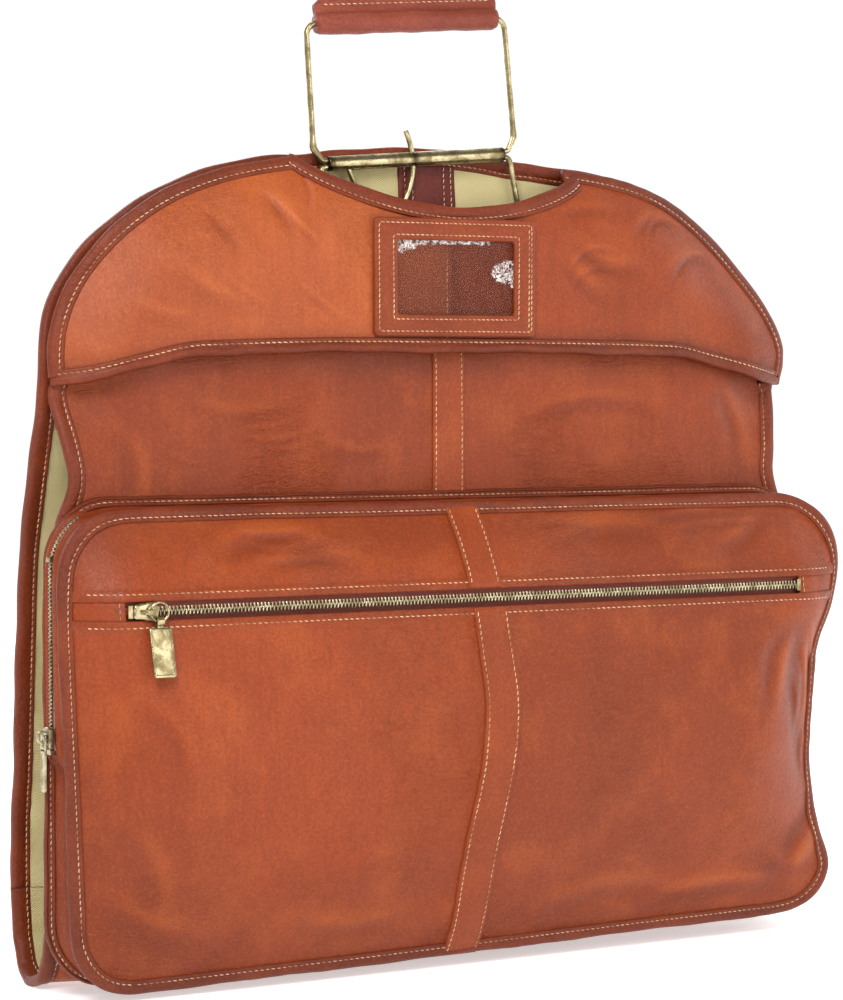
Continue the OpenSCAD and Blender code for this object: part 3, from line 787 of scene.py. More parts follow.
def make_studio():
    centre = (0, 0, 280)
    soft_light("key", (-1050, -1250, 1600), (-40, 0, 420), (0.9, 0.9), 37)
    soft_light("front_fill", (900, -2500, 900), centre, (2.0, 1.6), 26)
    soft_light("right_rim", (1900, -300, 900), centre, (0.9, 1.8), 14)
    soft_light("back_fill", (200, 2300, 1300), centre, (2.4, 1.6), 30)
    world = bpy.data.worlds.new("studio")
    world.use_nodes = True
    tree = world.node_tree
    direction = tree.nodes.new("ShaderNodeTexCoord")
    split = tree.nodes.new("ShaderNodeSeparateXYZ")
    ramp = tree.nodes.new("ShaderNodeMapRange")
    for socket, value in zip(("From Min", "From Max", "To Min", "To Max"), (-0.25, 0.35, 0.24, 1.05)):
        ramp.inputs[socket].default_value = value
    tree.links.new(direction.outputs["Generated"], split.inputs[0])
    tree.links.new(split.outputs["Y"], ramp.inputs["Value"])
    tree.links.new(ramp.outputs[0], tree.nodes["Background"].inputs["Strength"])
    tree.nodes["Background"].inputs["Color"].default_value = (1, 1, 1, 1)
    bpy.context.scene.world = world
    bpy.context.scene.view_settings.view_transform = "Standard"
    bpy.context.scene.view_settings.look = "None"
    floor = bpy.data.meshes.new("floor")
    reach = 9.0
    corners = [(-reach, -reach, 0), (reach, -reach, 0), (reach, reach, 0), (-reach, reach, 0)]
    lowest = Vector((0, 0, float(cad_box[0][2]) - MM))
    floor.from_pydata([Vector(c) + lowest for c in corners], [], [(0, 1, 2, 3)])
    floor.materials.append(floor_paint())
    obj = bpy.data.objects.new("floor", floor)
    bpy.context.collection.objects.link(obj)


make_camera()
make_studio()


# ---- the shell: outline, back, lining and yoke ----

ARCH = spline([
    (-283, 396), (-283, 425), (-273, 457), (-248, 490), (-210, 519), (-159, 539.5), (-104, 549.5), (0, 556),
    (104, 546.5), (171, 534.5), (214, 511), (254, 475), (281, 442), (290, 418), (286, 396),
], 181)
NECK_LEFT, NECK_RIGHT = (-109, 548.5), (106, 540.5)
SEAM_X = -2              # the yoke's middle seam
EDGE_INSET = 4.5         # from the arch in to the yoke's cut edge
HEM = graph([
    (-286, 396), (-262, 399), (-225, 408), (-185, 416), (-60, 419), (80, 418.5), (175, 417), (215, 410),
    (255, 401), (290, 395),
])


def neck(x):
    """Height of the leather's edge along the neck opening."""
    t = np.clip((np.asarray(x, float) - NECK_LEFT[0]) / (NECK_RIGHT[0] - NECK_LEFT[0]), 0, 1)
    return mix(NECK_LEFT[1], NECK_RIGHT[1], t) - 29.5 * np.sin(math.pi * t) ** 0.72


YOKE_CREASES = [
    (0.9, 2.0, [(-136, 522), (-124, 508), (-112, 497), (-100, 484)]),
    (0.8, 2.0, [(-108, 538), (-104, 524), (-108, 512)]),
    (0.8, 2.0, [(-182, 512), (-172, 500), (-166, 488)]),
    (0.7, 2.0, [(-176, 470), (-158, 456), (-140, 446)]),
    (0.7, 2.0, [(-120, 462), (-96, 446), (-80, 436)]),
    (1.0, 2.2, [(92, 470), (100, 482), (116, 489), (132, 486)]),
    (0.8, 2.0, [(96, 462), (106, 472), (124, 476)]),
    (0.8, 2.0, [(160, 498), (172, 510), (190, 508)]),
    (0.7, 2.0, [(178, 468), (196, 484), (216, 486)]),
    (1.3, 4.5, [(-138, 520), (-126, 507), (-121, 492)]),
    (0.9, 4.0, [(-178, 505), (-166, 494), (-160, 480)]),
    (1.0, 5.0, [(-205, 470), (-180, 452), (-150, 444)]),
    (1.3, 5.0, [(86, 478), (104, 462), (118, 455)]),
    (1.5, 5.0, [(96, 492), (116, 479), (150, 473)]),
    (1.1, 4.0, [(150, 500), (165, 510), (186, 507)]),
    (1.2, 5.0, [(176, 470), (196, 482), (214, 480)]),
    (0.8, 4.0, [(-236, 448), (-216, 438), (-190, 436)]),
    (0.9, 4.0, [(90, 512), (112, 516), (136, 513)]),
]


def yoke_y(x, z):
    """Outer face of the yoke: down from the arch, over a soft shoulder, then nearly flat."""
    far, _, _ = to_line(x, z, ARCH[::3])
    reach = mix(46.0, 64.0, smooth(400, 470, z))
    rise = np.sin(math.pi / 2 * np.clip(far / reach, 0, 1)) ** 0.85
    middle = -20.5 + 8 * (np.abs(x) / 285) ** 2
    y = 8 + (middle - 8) * rise
    from_frame = np.hypot(np.maximum(np.abs(x) - 20, 0), np.maximum(np.abs(z - 468) - 10, 0) * 1.1)
    frame_clear = smooth(52, 92, from_frame)
    y = y - rise * frame_clear * (ripples(x, z, 95, 3) * 1.5 + ripples(x, z, 34, 4) * 0.4)
    y = y - creases(x, z, YOKE_CREASES) * frame_clear
    y = y + 0.8 * hump(x, SEAM_X, 2.2)
    return y - 1.2 * rise * smooth(40, 8, z - HEM(x)) * hump(x, -120, 70)


def arch_top(x_from, x_to):
    """The yoke's upper edge between two x, as (x, z): the arch, dropping along the neck."""
    line = ARCH + right_of(ARCH) * EDGE_INSET
    inside = (line[:, 0] > NECK_LEFT[0]) & (line[:, 0] < NECK_RIGHT[0])
    line[inside, 1] = neck(line[inside, 0]) - 2.0
    keep = (line[:, 0] >= x_from - 1e-6) & (line[:, 0] <= x_to + 1e-6)
    keep &= line[:, 1] > HEM(line[:, 0]) + 1
    return line[keep]


def yoke_half(name, x_from, x_to, material):
    top = arch_top(x_from, x_to)
    ends = [(x, float(neck(x)) - 2.0) for x in (x_from, x_to) if abs(x) < 50]
    top = np.array(([*ends] if x_from > -50 else []) + top.tolist() + ([*ends] if x_to < 50 else []))
    top = evenly(top, 1.9)
    foot = coords(top[:, 0], HEM(top[:, 0]))
    t = np.linspace(0, 1, 76)[:, None, None]
    xz = mix(foot[None], top[None], t)
    points, _ = on(yoke_y, xz)
    obj = piece(name, sheet_form(points, LEATHER, FRONT), material, "shell")
    paint(obj, "seam", lambda p: np.maximum(hump(p[:, 0], SEAM_X, 6), hump(p[:, 2], HEM(p[:, 0]) + 8, 7)))
    relief(obj, lambda p: creases(p[:, 0], p[:, 2], YOKE_CREASES))


def paint(obj, name, value):
    """Keeps value(points in bag mm) on the mesh's points for its material to read."""
    co = np.empty(len(obj.data.vertices) * 3)
    obj.data.vertices.foreach_get("co", co)
    at = (co.reshape(-1, 3) - ORIGIN) / MM
    layer = obj.data.attributes.new(name, "FLOAT", "POINT")
    layer.data.foreach_set("value", np.clip(value(at), 0, 1).astype(np.float32))


def relief(obj, height):
    """Paints shade into the grooves of creases and a highlight onto their lips."""
    paint(obj, "shade_and_stain", lambda p: -height(p) / 1.6)
    paint(obj, "crease_highlight", lambda p: height(p) / 1.2)


yoke_half("yoke_left", -300, SEAM_X, COGNAC)
yoke_half("yoke_right", SEAM_X, 300, COGNAC_RIGHT)
stitch("shell", *on(yoke_y, coords(SEAM_X - 3.6, np.linspace(422, 514, 60))))


# the back panel sags a little below the shoulders and fills out lower down

BACK_MIDDLE = graph([(0, 65), (60, 65), (250, 65), (300, 55), (345, 36), (384, 22.5), (430, 20), (560, 20)])
BACK_EDGE = graph([
    (0, 60), (35, 70), (60, 74), (94, 74), (144, 68), (226, 61), (279, 56), (320, 43), (399, 20), (556, 18),
])


BACK_CREASES = [
    (2.0, 9, [(-180, 250), (-110, 262), (-30, 252)]),
    (1.6, 8, [(60, 180), (120, 196), (190, 182)]),
    (1.4, 7, [(-60, 400), (-20, 380), (40, 378)]),
    (1.8, 8, [(150, 330), (190, 300), (205, 262)]),
    (1.5, 7, [(-215, 140), (-170, 120), (-120, 118)]),
    (1.4, 6, [(-200, 470), (-150, 482), (-100, 478)]),
]


def back_y(x, z):
    y = mix(BACK_MIDDLE(z), BACK_EDGE(z), smooth(200, 285, np.abs(x)))
    calm = smooth(285, 240, np.abs(x)) * smooth(FOLD_END_Z - 5, FOLD_END_Z + 50, z)
    calm = calm * smooth(10, 50, to_line(x, z, ARCH[::6])[0])
    y = y + calm * (ripples(x, z, 150, 11) * 2.0 + ripples(x, z, 48, 12) * 0.6)
    return y + creases(x, z, BACK_CREASES) * calm


def arch_columns(count_each):
    """(foot x, top x, top z) of the back's columns, spread along the arch."""
    upper = ARCH[(ARCH[:, 1] > 399)]
    top = resample(upper, count_each)
    s = np.linspace(-1, 1, count_each)
    foot = np.sign(s) * np.abs(s) ** 0.72 * 283.5
    return foot, top


FAN_Z = 200              # above this height the back's columns fan out toward the arch


def back_sheet(name, out, thick, material, inset_by, count, rows, toward):
    foot, top = arch_columns(count)
    middle = np.array([0, 400.0])
    top = middle + (top - middle) * (1 - inset_by / 300)
    foot = foot * (1 - inset_by / 300)
    t = np.linspace(0, 1, rows)[:, None]
    z = mix(FOLD_END_Z, top[None, :, 1], t)
    risen = np.clip((z - FAN_Z) / np.maximum(top[None, :, 1] - FAN_Z, 1), 0, 1)
    x = mix(foot[None], top[None, :, 0], risen ** 1.6)
    points = coords(x, out(x, z), z)
    return piece(name, sheet_form(points, thick, toward), material, "shell")


back = back_sheet("back_panel", back_y, LEATHER, COGNAC, 1.5, 200, 150, BACK)
relief(back, lambda p: creases(p[:, 0], p[:, 2], BACK_CREASES))


def back_lining_y(x, z):
    edge = smooth(283, 235, np.abs(x)) * smooth(12, 38, to_line(x, z, ARCH[::6])[0])
    folds = ripples(x * 2.2, z * 0.55, 80, 21) * 1.3 + ripples(x, z, 42, 22) * 0.5
    tuck = ripples(x * 0.7, z, 34, 23) * smooth(277, 268, np.abs(x)) * smooth(230, 258, np.abs(x)) * 1.3
    under = mix(0.62, 0.9, np.maximum(edge, smooth(400, 380, z)))
    return back_y(x, z) - LEATHER - under - edge * (1.6 + folds) - (tuck + 0.5) * smooth(390, 370, z)


back_sheet("back_lining", back_lining_y, LINING, TWILL, 8.0, 180, 130, FRONT)


# ---- the bottom fold, as one ribbon from the back to the front ----

FOLD_MIDDLE = np.array([(BACK_Y, FOLD_END_Z), (BACK_Y, 48)] + [
    (FOLD_Y + FOLD_R * math.cos(w), FOLD_R - FOLD_R * math.sin(w)) for w in np.linspace(0, math.pi, 22)
] + [(FOLD_Y - FOLD_R, 48), (FOLD_Y - FOLD_R, FOLD_END_Z)])
FOLD_EDGE = spline([(74, FOLD_END_Z), (72, 35), (65, 12), (55, 2.5), (43, 0.5), (28, 5), (17, 17), (11, 35),
                    (8, FOLD_END_Z)], 60)
FOLD_ROWS = 70
FOLD_HALF = 283


def front_y(x, z):
    """Outer face of the front panel."""
    ax = np.abs(x)
    y = FRONT_Y + 14 * smooth(215, 278, ax) * smooth(340, 396, z)
    y = y + 13 * smooth(230, 283, ax) * (1 - smooth(62, 105, z))
    calm = smooth(268, 225, ax) * smooth(FOLD_END_Z, FOLD_END_Z + 40, z) * (1 - smooth(408, 420, z))
    y = y - calm * (0.6 + ripples(x, z, 120, 31) * 0.9 + ripples(x, z, 40, 32) * 0.35)
    return y - creases(x, z, FRONT_CREASES) * calm


FRONT_CREASES = [
    (0.7, 2.2, [(-176, 372), (-140, 364), (-104, 372)]),
    (0.7, 2.2, [(-166, 364), (-130, 356), (-96, 363)]),
    (0.6, 2.2, [(-150, 356), (-120, 349), (-92, 356)]),
    (0.6, 2.2, [(-210, 352), (-196, 344), (-180, 340)]),
    (0.9, 4.5, [(-190, 380), (-150, 372), (-110, 380)]),
    (1.0, 5.0, [(60, 366), (110, 380), (170, 376)]),
    (1.2, 6.0, [(-240, 360), (-232, 338), (-236, 318)]),
    (1.3, 6.0, [(222, 392), (238, 366), (240, 335)]),
    (0.8, 4.0, [(-90, 352), (-60, 345), (-40, 350)]),
]


def fold_grid(inward, half, cols, rows=FOLD_ROWS):
    """Points of the fold, back to front, inward millimetres inside its outer face."""
    middle, edge = resample(FOLD_MIDDLE, rows), resample(FOLD_EDGE, rows)
    x = np.linspace(-half, half, cols)
    share = smooth(200, 285, np.abs(x))[None, :, None]
    yz = mix(middle[:, None], edge[:, None], share)
    s = np.linspace(0, 1, rows)[:, None]
    pucker = smooth(150, 283, np.abs(x))[None] * np.sin(math.pi * s) * np.sin(s * 46 + np.sign(x) * 2) * 1.1
    soft = ripples(x[None] + s * 60, s * 90 + x[None] * 0.3, 90, 41) * np.sin(math.pi * s) ** 0.5
    normal = unit(coords(-np.gradient(yz[..., 1], axis=0), np.gradient(yz[..., 0], axis=0)))
    centre = np.array([FOLD_Y, FOLD_R + 8])
    normal = np.where(((yz - centre) * normal).sum(-1, keepdims=True) < 0, -normal, normal)
    yz = yz + normal * (pucker + soft * (1 - share[..., 0]) - inward)[..., None]
    yz[..., 1] = np.maximum(yz[..., 1], 0.4 + inward)
    return coords(x, yz[..., 0], yz[..., 1])


def blended(obj):
    """Bakes its placement into its mesh; it is tied to no body."""
    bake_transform(obj)
    return obj


blended(piece("fold_skin", sheet_form(fold_grid(0, FOLD_HALF, 190), LEATHER, DOWN), COGNAC,
              replaces=["fold_back", "fold_front"]))
blended(piece("fold_lining", sheet_form(fold_grid(LEATHER + 1.2, FOLD_HALF - 7.5, 170), LINING, UP), TWILL,
              replaces=["fold_lining_back", "fold_lining_front"]))


# ---- the front panel and its tongue ----

FRONT_HALF_WIDTH = graph([
    (FOLD_END_Z, 283), (93, 281), (300, 281), (335, 272), (352, 274), (393, 280), (397, 268), (450, 266),
])


def front_grid(surface, shrink, z_top, rows=190, cols=260):
    z = np.linspace(FOLD_END_Z, z_top, rows)[:, None]
    x = np.linspace(-1, 1, cols)[None] * (FRONT_HALF_WIDTH(z) - shrink)
    return coords(x, surface(x, z), z)


def front_lining_y(x, z):
    edge = smooth(280, 240, np.abs(x))
    return front_y(x, z) + LEATHER + 0.9 + edge * (1.4 + ripples(x * 2, z * 0.6, 80, 33))


front = piece("front_skin", sheet_form(front_grid(front_y, 0, 448), LEATHER, FRONT), COGNAC_RIGHT,
              "front_half", ["front_panel", "front_tongue"])
relief(front, lambda p: creases(p[:, 0], p[:, 2], FRONT_CREASES))
piece("front_lining", sheet_form(front_grid(front_lining_y, 7, 392, 120, 170), LINING, BACK), TWILL,
      "front_half")

# half of a strap's width: places across it and the share of its height there
STRAP_SECTION = [(0, 1), (0.3, 1), (0.6, 0.98), (0.8, 0.86), (0.9, 1.0), (0.965, 0.72), (1, 0.0)]


def strap(name, surface, centre, half, z_low, z_high, raise_by):
    """A flat strap sewn down both edges on a surface of the front; centre(z) is its middle."""
    z = np.linspace(z_low, z_high, max(12, int((z_high - z_low) / 2)))
    across, height = np.array([(-a, h) for a, h in STRAP_SECTION[:0:-1]] + STRAP_SECTION).T
    height = height * raise_by
    x = centre(z)[:, None] + across[None] * half
    base, normal = on(surface, coords(x, z[:, None]))
    form = sheet_form(base + normal * (height[None, :, None] + 0.05), 1.2, FRONT)
    piece(name, form, STRAP_HIDE, "front_half")
    for side in (-1, 1):
        line = coords(centre(z) + side * half * 0.8, z)[1:-1]
        stitch("front_half", *on(surface, line, raise_by * 0.86))


strap("front_strip", front_y, lambda z: 3 + 0 * z, 12.5, 315, 421, 1.7)


# ---- bindings: a folded leather edge rolled over the panels ----

BINDING_LIFT = 0.3       # between a panel and the binding on it


def binding_profile(w, inside):
    """Across points toward the panel, up is the outer face; inside is how far it goes behind the panel."""
    back = -inside
    return np.array([
        (w, 0.15), (w - 0.35, 1.15), (w - 1.6, 1.3), (w - 2.6, 1.0), (w - 3.2, 0.8), (w - 3.9, 1.1),
        (w - 5.0, 1.7), (0.35 * w, 2.15), (0.12 * w, 2.2), (-0.8, 1.7), (-1.7, 0.5), (-2.0, back * 0.5),
        (-1.5, back + 1.4), (0, back), (0.4 * w, back - 0.15), (w - 1, back + 0.35), (w, back + 1.0),
    ])


def binding(name, path, up, body, w, inside, seed, nodes=None, closed=False, both_faces=False, pucker=0.12):
    """A binding along path, whose across direction (tangent x up) points at the panel.

    It lies w millimetres wide on the panel and reaches inside millimetres behind its face. Without
    a body its placement is baked into its mesh. It is stitched on its outer face, or on both faces.
    """
    path = np.asarray(path, float)
    up = np.broadcast_to(np.asarray(up, float), path.shape)
    profile = binding_profile(w, inside)
    t = lengths(path)
    wave = 1 + 0.05 * np.sin(t / 23.0 + seed) + 0.035 * np.sin(t / 7.7 + 2 * seed)
    if not closed:
        wave = 1 + (wave - 1) * smooth(0, 25, t) * smooth(0, 25, t[-1] - t)
    dent = pucker * np.sin(t / 2.6 + seed) * smooth(-0.2, 0.6, np.sin(t / 31 + seed))

    def scale(k, shape):
        out = shape.copy()
        out[:, 1] += np.where(out[:, 1] > 0.9, out[:, 1] * (wave[k] - 1) + dent[k], 0)
        out[:, 0] += np.where(out[:, 0] < w * 0.6, (wave[k] - 1) * 9, 0)
        return out

    form = sweep_form(path, up, profile, closed=closed, scale=scale)
    obj = piece(name, form, BINDING, body, nodes, recalc=True)
    if body is None:
        blended(obj)
    tangent = tangents(path, closed)
    across = unit(np.cross(tangent, up))
    square = np.cross(across, tangent)
    rows = [(1, 0.86), (-1, -inside - 0.1)]
    for face, level in rows[:2 if both_faces else 1]:
        stitch(body or "fold", path + across * (w - 2.9) + square * level, square * face)


def hugging(flat, inward, surface, w):
    """Path and up directions of a binding of width w laid on a surface along a flat line (x, z)."""
    near, far = flat + inward * 0.5, flat + inward * w
    a = coords(near[:, 0], surface(near[:, 0], near[:, 1]), near[:, 1])
    b = coords(far[:, 0], surface(far[:, 0], far[:, 1]), far[:, 1])
    up = unit(np.cross(unit(b - a), tangents(a)))
    up = np.where(up[:, 1:2] > 0, -up, up)
    return a + up * BINDING_LIFT, up


BINDING_X = (-284.5, 286.0)                  # the back's straight edges, left and right


def outline_path():
    """The back panel's edge from the lower left, up over the arch and down on the right.

    It is worn down where the bail leans on it.
    """
    left_z = np.arange(FOLD_END_Z, 396, 3.0)
    left = coords(BINDING_X[0], BACK_EDGE(left_z) - 3.4, left_z)
    right = coords(BINDING_X[1], left[:, 1], left_z)[::-1]
    arch = evenly(ARCH, 3.0)[1:-1]
    depth = BACK_EDGE(arch[:, 1]) - mix(3.4, 0.5, smooth(400, 450, arch[:, 1]))
    bail_low, bail_high = bag_box("bail_wire")
    worn = hump(arch[:, 0], bail_low[0] + 3, 12) + hump(arch[:, 0], bail_high[0] - 3, 12)
    top = coords(arch[:, 0], depth + 0.8 * worn, arch[:, 1] - 1.3 * worn)
    path = np.concatenate([left, top, right])
    return relaxed(path, 6)


binding("back_edge_binding", outline_path(), FRONT, "shell", w=11.0, inside=5.4, seed=5, both_faces=True,
        pucker=0.3)


def shoulder_seam(name, x_from, x_to, seed):
    """The binding on the yoke's arched edge, from the hem to the neck's corner."""
    keep = (ARCH[:, 0] >= x_from) & (ARCH[:, 0] <= x_to) & (ARCH[:, 1] > 398)
    line = evenly(ARCH[keep], 2.6)
    inward = right_of(line)
    path, up = hugging(line + inward * 1.5, inward, yoke_y, 10.0)
    binding(name, path, up, "shell", w=9.4, inside=5.0, seed=seed, nodes=["shoulder_seam_band"])


shoulder_seam("shoulder_seam_left", -300, NECK_LEFT[0] + 6, 11)
shoulder_seam("shoulder_seam_right", NECK_RIGHT[0] - 6, 300, 12)


def shoulder_band():
    """The strip that spans from the yoke's edge to the back panel round the arch."""
    for name, x_from, x_to in (("left", -300, NECK_LEFT[0] + 4), ("right", NECK_RIGHT[0] - 4, 300)):
        arch = evenly(ARCH[(ARCH[:, 1] > 400) & (ARCH[:, 0] > x_from) & (ARCH[:, 0] < x_to)], 3.0)
        inward = right_of(arch)
        t = np.linspace(0, 1, 14)[:, None]
        sink = 2.6 + 1.4 * np.sin(math.pi * t) + 0.5 * np.sin(lengths(arch)[None] / 9.0) * np.sin(math.pi * t)
        x = arch[None, :, 0] + inward[None, :, 0] * sink
        z = arch[None, :, 1] + inward[None, :, 1] * sink
        y = mix(8.5, BACK_EDGE(420) - 1.0, t) + 0 * x
        piece("shoulder_band_" + name, sheet_form(coords(x, y, z), 1.4, UP), BINDING, "shell",
              ["shoulder_seam_band"])


shoulder_band()


# neck, hem and inner strip

def yoke_binding(name, x, z, step, w, inside, seed):
    """Binding on an edge of the yoke, which lies to the right of the line."""
    points, up = on(yoke_y, evenly(coords(x, z), step), BINDING_LIFT)
    binding(name, points, up, "shell", w, inside, seed)


neck_x = np.linspace(NECK_LEFT[0] - 2, NECK_RIGHT[0] + 2, 130)
hem_x = np.linspace(281, -281, 230)
yoke_binding("neck_binding", neck_x, neck(neck_x), 2.5, w=10.0, inside=3.2, seed=2)
yoke_binding("yoke_hem_binding", hem_x, HEM(hem_x), 2.6, w=8.4, inside=2.8, seed=4)


def yoke_lining_y(x, z):
    return yoke_y(x, z) + LEATHER + 1.0


def yoke_lining():
    top = evenly(arch_top(-276, 276), 3.2)
    foot = coords(top[:, 0] * 0.985, HEM(top[:, 0]) + 3)
    top = top - [[0, 4]]
    t = np.linspace(0, 1, 44)[:, None, None]
    points, _ = on(yoke_lining_y, mix(foot[None], top[None], t))
    piece("yoke_lining", sheet_form(points, LINING, BACK), TWILL, "shell")


yoke_lining()


def inner_strip():
    """Dark reinforcing strip on the lining behind the neck, where the hanger's tab is sewn."""
    z = np.linspace(426, 546, 60)
    across = np.array([-1, -0.97, -0.9, -0.8, -0.5, 0, 0.5, 0.8, 0.9, 0.97, 1])
    height = np.array([0, 0.8, 1.0, 0.85, 1, 1, 1, 0.85, 1.0, 0.8, 0]) * 1.5
    x, zz = np.meshgrid(SEAM_X + across * 22, z)
    y = back_lining_y(x, zz) - LINING - 0.2 - height[None] * (1 - 0.4 * smooth(500, 520, zz))
    piece("inner_strip", sheet_form(coords(x, y, zz), 1.0, FRONT), INNER, "shell")
    for offset in (-18.0, -12.5, 12.5, 18.0):
        xs = np.full(len(z), SEAM_X + offset)
        stitch("shell", coords(xs, back_lining_y(xs, z) - LINING - 2.0, z), FRONT)


inner_strip()
TAB_YZ = [
    (15.2, 447), (15.0, 470), (13.5, 482), (8.4, 491.5), (5.2, 488.5), (6.6, 482), (10.8, 470), (12.4, 447),
]
tab = sweep_form([(0, y, z) for y, z in TAB_YZ], RIGHT, rounded_box((-1.1, -11), (1.1, 11), 0.8))
piece("hanger_tab", tab, INNER, "shell", recalc=True)


# ---- the card window ----

ID_X, ID_Z = ID_MIDDLE[0], ID_MIDDLE[2]
ID_HALF = (62.5, 40.0)
CARD_HALF = (45.0, 25.0)


def id_y(x, z):
    """Outer face of the card holder: the yoke's level, nearly flat."""
    flat = bag_box("id_frame")[0][1] + 1.3
    return flat + 0.0006 * (x - ID_X) ** 2 + ripples(x, z, 60, 51) * 0.35


def ring_loop(half, r, count):
    """Rounded rectangle (x, z) of count points, counterclockwise from the right side's middle."""
    corners = rounded_box((-half[0], -half[1]), half, r, 6)
    return round_trip(np.array([(half[0], 0), *corners]) + [ID_X, ID_Z], count)


def id_holder():
    count = 240
    outer, inner = ring_loop(ID_HALF, 3, count), ring_loop(CARD_HALF, 2, count)
    steps = np.array([0, 0.03, 0.09, 0.16, 0.28, 0.5, 0.72, 0.84, 0.91, 0.97, 1.0])
    raised = np.array([0, 0.75, 1.0, 0.72, 1.05, 1.1, 1.05, 0.72, 1.0, 0.7, 0.1]) * 1.7
    loops = np.stack([mix(outer, inner, s) for s in steps])
    base, normal = on(id_y, loops)
    form = sheet_form(base + normal * (raised[:, None, None] - 0.4), 1.6, FRONT, closed=True)
    obj = piece("id_frame", form, COGNAC_RIGHT, "shell")
    paint(obj, "seam", lambda p: 0.4 + 0 * p[:, 0])
    for half, seam in ((ID_HALF, -3.6), (CARD_HALF, 3.4)):
        loop = ring_loop((half[0] + seam, half[1] + seam), 2, 200)
        stitch("shell", *on(id_y, np.concatenate([loop, loop[:1]]), 0.9), pitch=3.6)
    slit = coords(ID_X + 56.5, np.linspace(ID_Z - 34, ID_Z + 34, 30))
    stitch("shell", *on(id_y, slit, 1.2), pitch=3.6)


def window_film():
    x, z = np.meshgrid(np.linspace(-48, 48, 120) + ID_X, np.linspace(-28, 28, 76) + ID_Z)
    dx, dz = (x - ID_X) / 45, (z - ID_Z) / 25
    edge = np.clip(1 - np.maximum(np.abs(dx), np.abs(dz)), 0, 1)
    crinkle = (ripples(x, z, 13, 61) * 0.35 + ripples(x, z, 30, 62) * 0.5) * smooth(0, 0.2, edge)
    lifted = hump(np.hypot(dx - 0.86, (dz - 0.25) * 0.7), 0, 0.34)
    lifted = lifted + hump(np.hypot(dx + 0.9, dz - 0.9), 0, 0.28)
    y = id_y(x, z) + 0.9 + crinkle + lifted * ripples(x, z, 7, 63) * 0.5
    obj = piece("id_window", sheet_form(coords(x, y, z), 0.4, FRONT), CLEAR, "shell")

    # White glare painted onto the film: patches at its right side and upper left corner and a band along its
    # top, with speckle.
    def painted_glare(p):
        u, v = (p[:, 0] - ID_X) / 45, (p[:, 2] - ID_Z) / 25
        rough = ripples(p[:, 0], p[:, 2], 6, 64) * 0.25
        right = hump(np.hypot(u - 0.88, (v - 0.15) * 0.75), 0, 0.30)
        left = hump(np.hypot(u + 0.93, v - 0.92), 0, 0.30)
        band = hump(v, 0.98, 0.12) * smooth(0.9, 0.5, np.abs(u + 0.1))
        return 1.15 * right + left + band * 0.9 + rough * (right + left + band > 0.15)

    paint(obj, "painted_glare", painted_glare)


id_holder()
window_film()


# ---- front bindings ----

def front_edge(side):
    z = np.arange(FOLD_END_Z, 400, 3.0)
    x = np.where(z > 391, 280 - (z - 391) * 0.35, FRONT_HALF_WIDTH(np.minimum(z, 391))) * side
    y = front_y(x, z) + 0.3
    return coords(x, y, z)


for side, word in SIDES:
    binding("front_binding_" + word, front_edge(side)[::-side], FRONT, "front_half", w=10.0, inside=3.6,
            seed=side + 3, nodes=["front_edge_binding"], both_faces=True)


def fold_binding(side, word):
    """Binding round the end of the bottom fold; its outer face looks away from the fold's middle."""
    rows = 60
    grid = fold_grid(0.0, FOLD_HALF - 0.5, 60, rows)
    path = grid[:, 0 if side < 0 else -1].copy()
    path[:, 0] = np.linspace(BINDING_X[side > 0], 283.2 * side, rows)
    path = relaxed(path, 3)
    centre = np.array([0, FOLD_Y, FOLD_R + 15])
    tangent = tangents(path)
    out = path - centre
    out[:, 0] = 0
    out = unit(out - tangent * (out * tangent).sum(1, keepdims=True))
    across = np.cross(tangent, out)
    if (across[:, 0] * side).mean() > 0:
        path, out = path[::-1], out[::-1]
    binding("fold_binding_" + word, path, out, None, w=10.8, inside=4.8, seed=8 + side,
            nodes=["fold_binding_back", "fold_binding_front"], both_faces=True, pucker=0.35)


for side, word in SIDES:
    fold_binding(side, word)


# ---- the pocket ----

POCKET_R = 41.0                              # corner radius
POCKET_HALF = 292.0                          # half its width
POCKET_Z = (5.0, 316.0)                      # lower and upper edge in the straight drawing
EDGE_Y = (-35.0, -40.0)                      # how far forward the front rim stands, left and right
ZIP_LOW, ZIP_HIGH = ZIP[2] - 6.8, ZIP[2] + 6.8   # the slit the zip shows in
SIDE_LEFT = graph([(5, -286), (31, -285), (120, -287), (260, -292), (320, -292)])
SIDE_RIGHT = graph([
    (5, 300), (34, 300), (72, 288), (131, 280), (203, 286), (239, 300), (268, 305), (297, 301), (320, 298),
])
BULGE = graph([
    (5, -33), (14, -38), (45, -53), (83, -68), (125, -79), (150, -82), (186, -79.5), (211, -73.5),
    (240, -66.5), (253, -63), (262, -61.5), (285, -52), (305, -40), (316, -33),
])

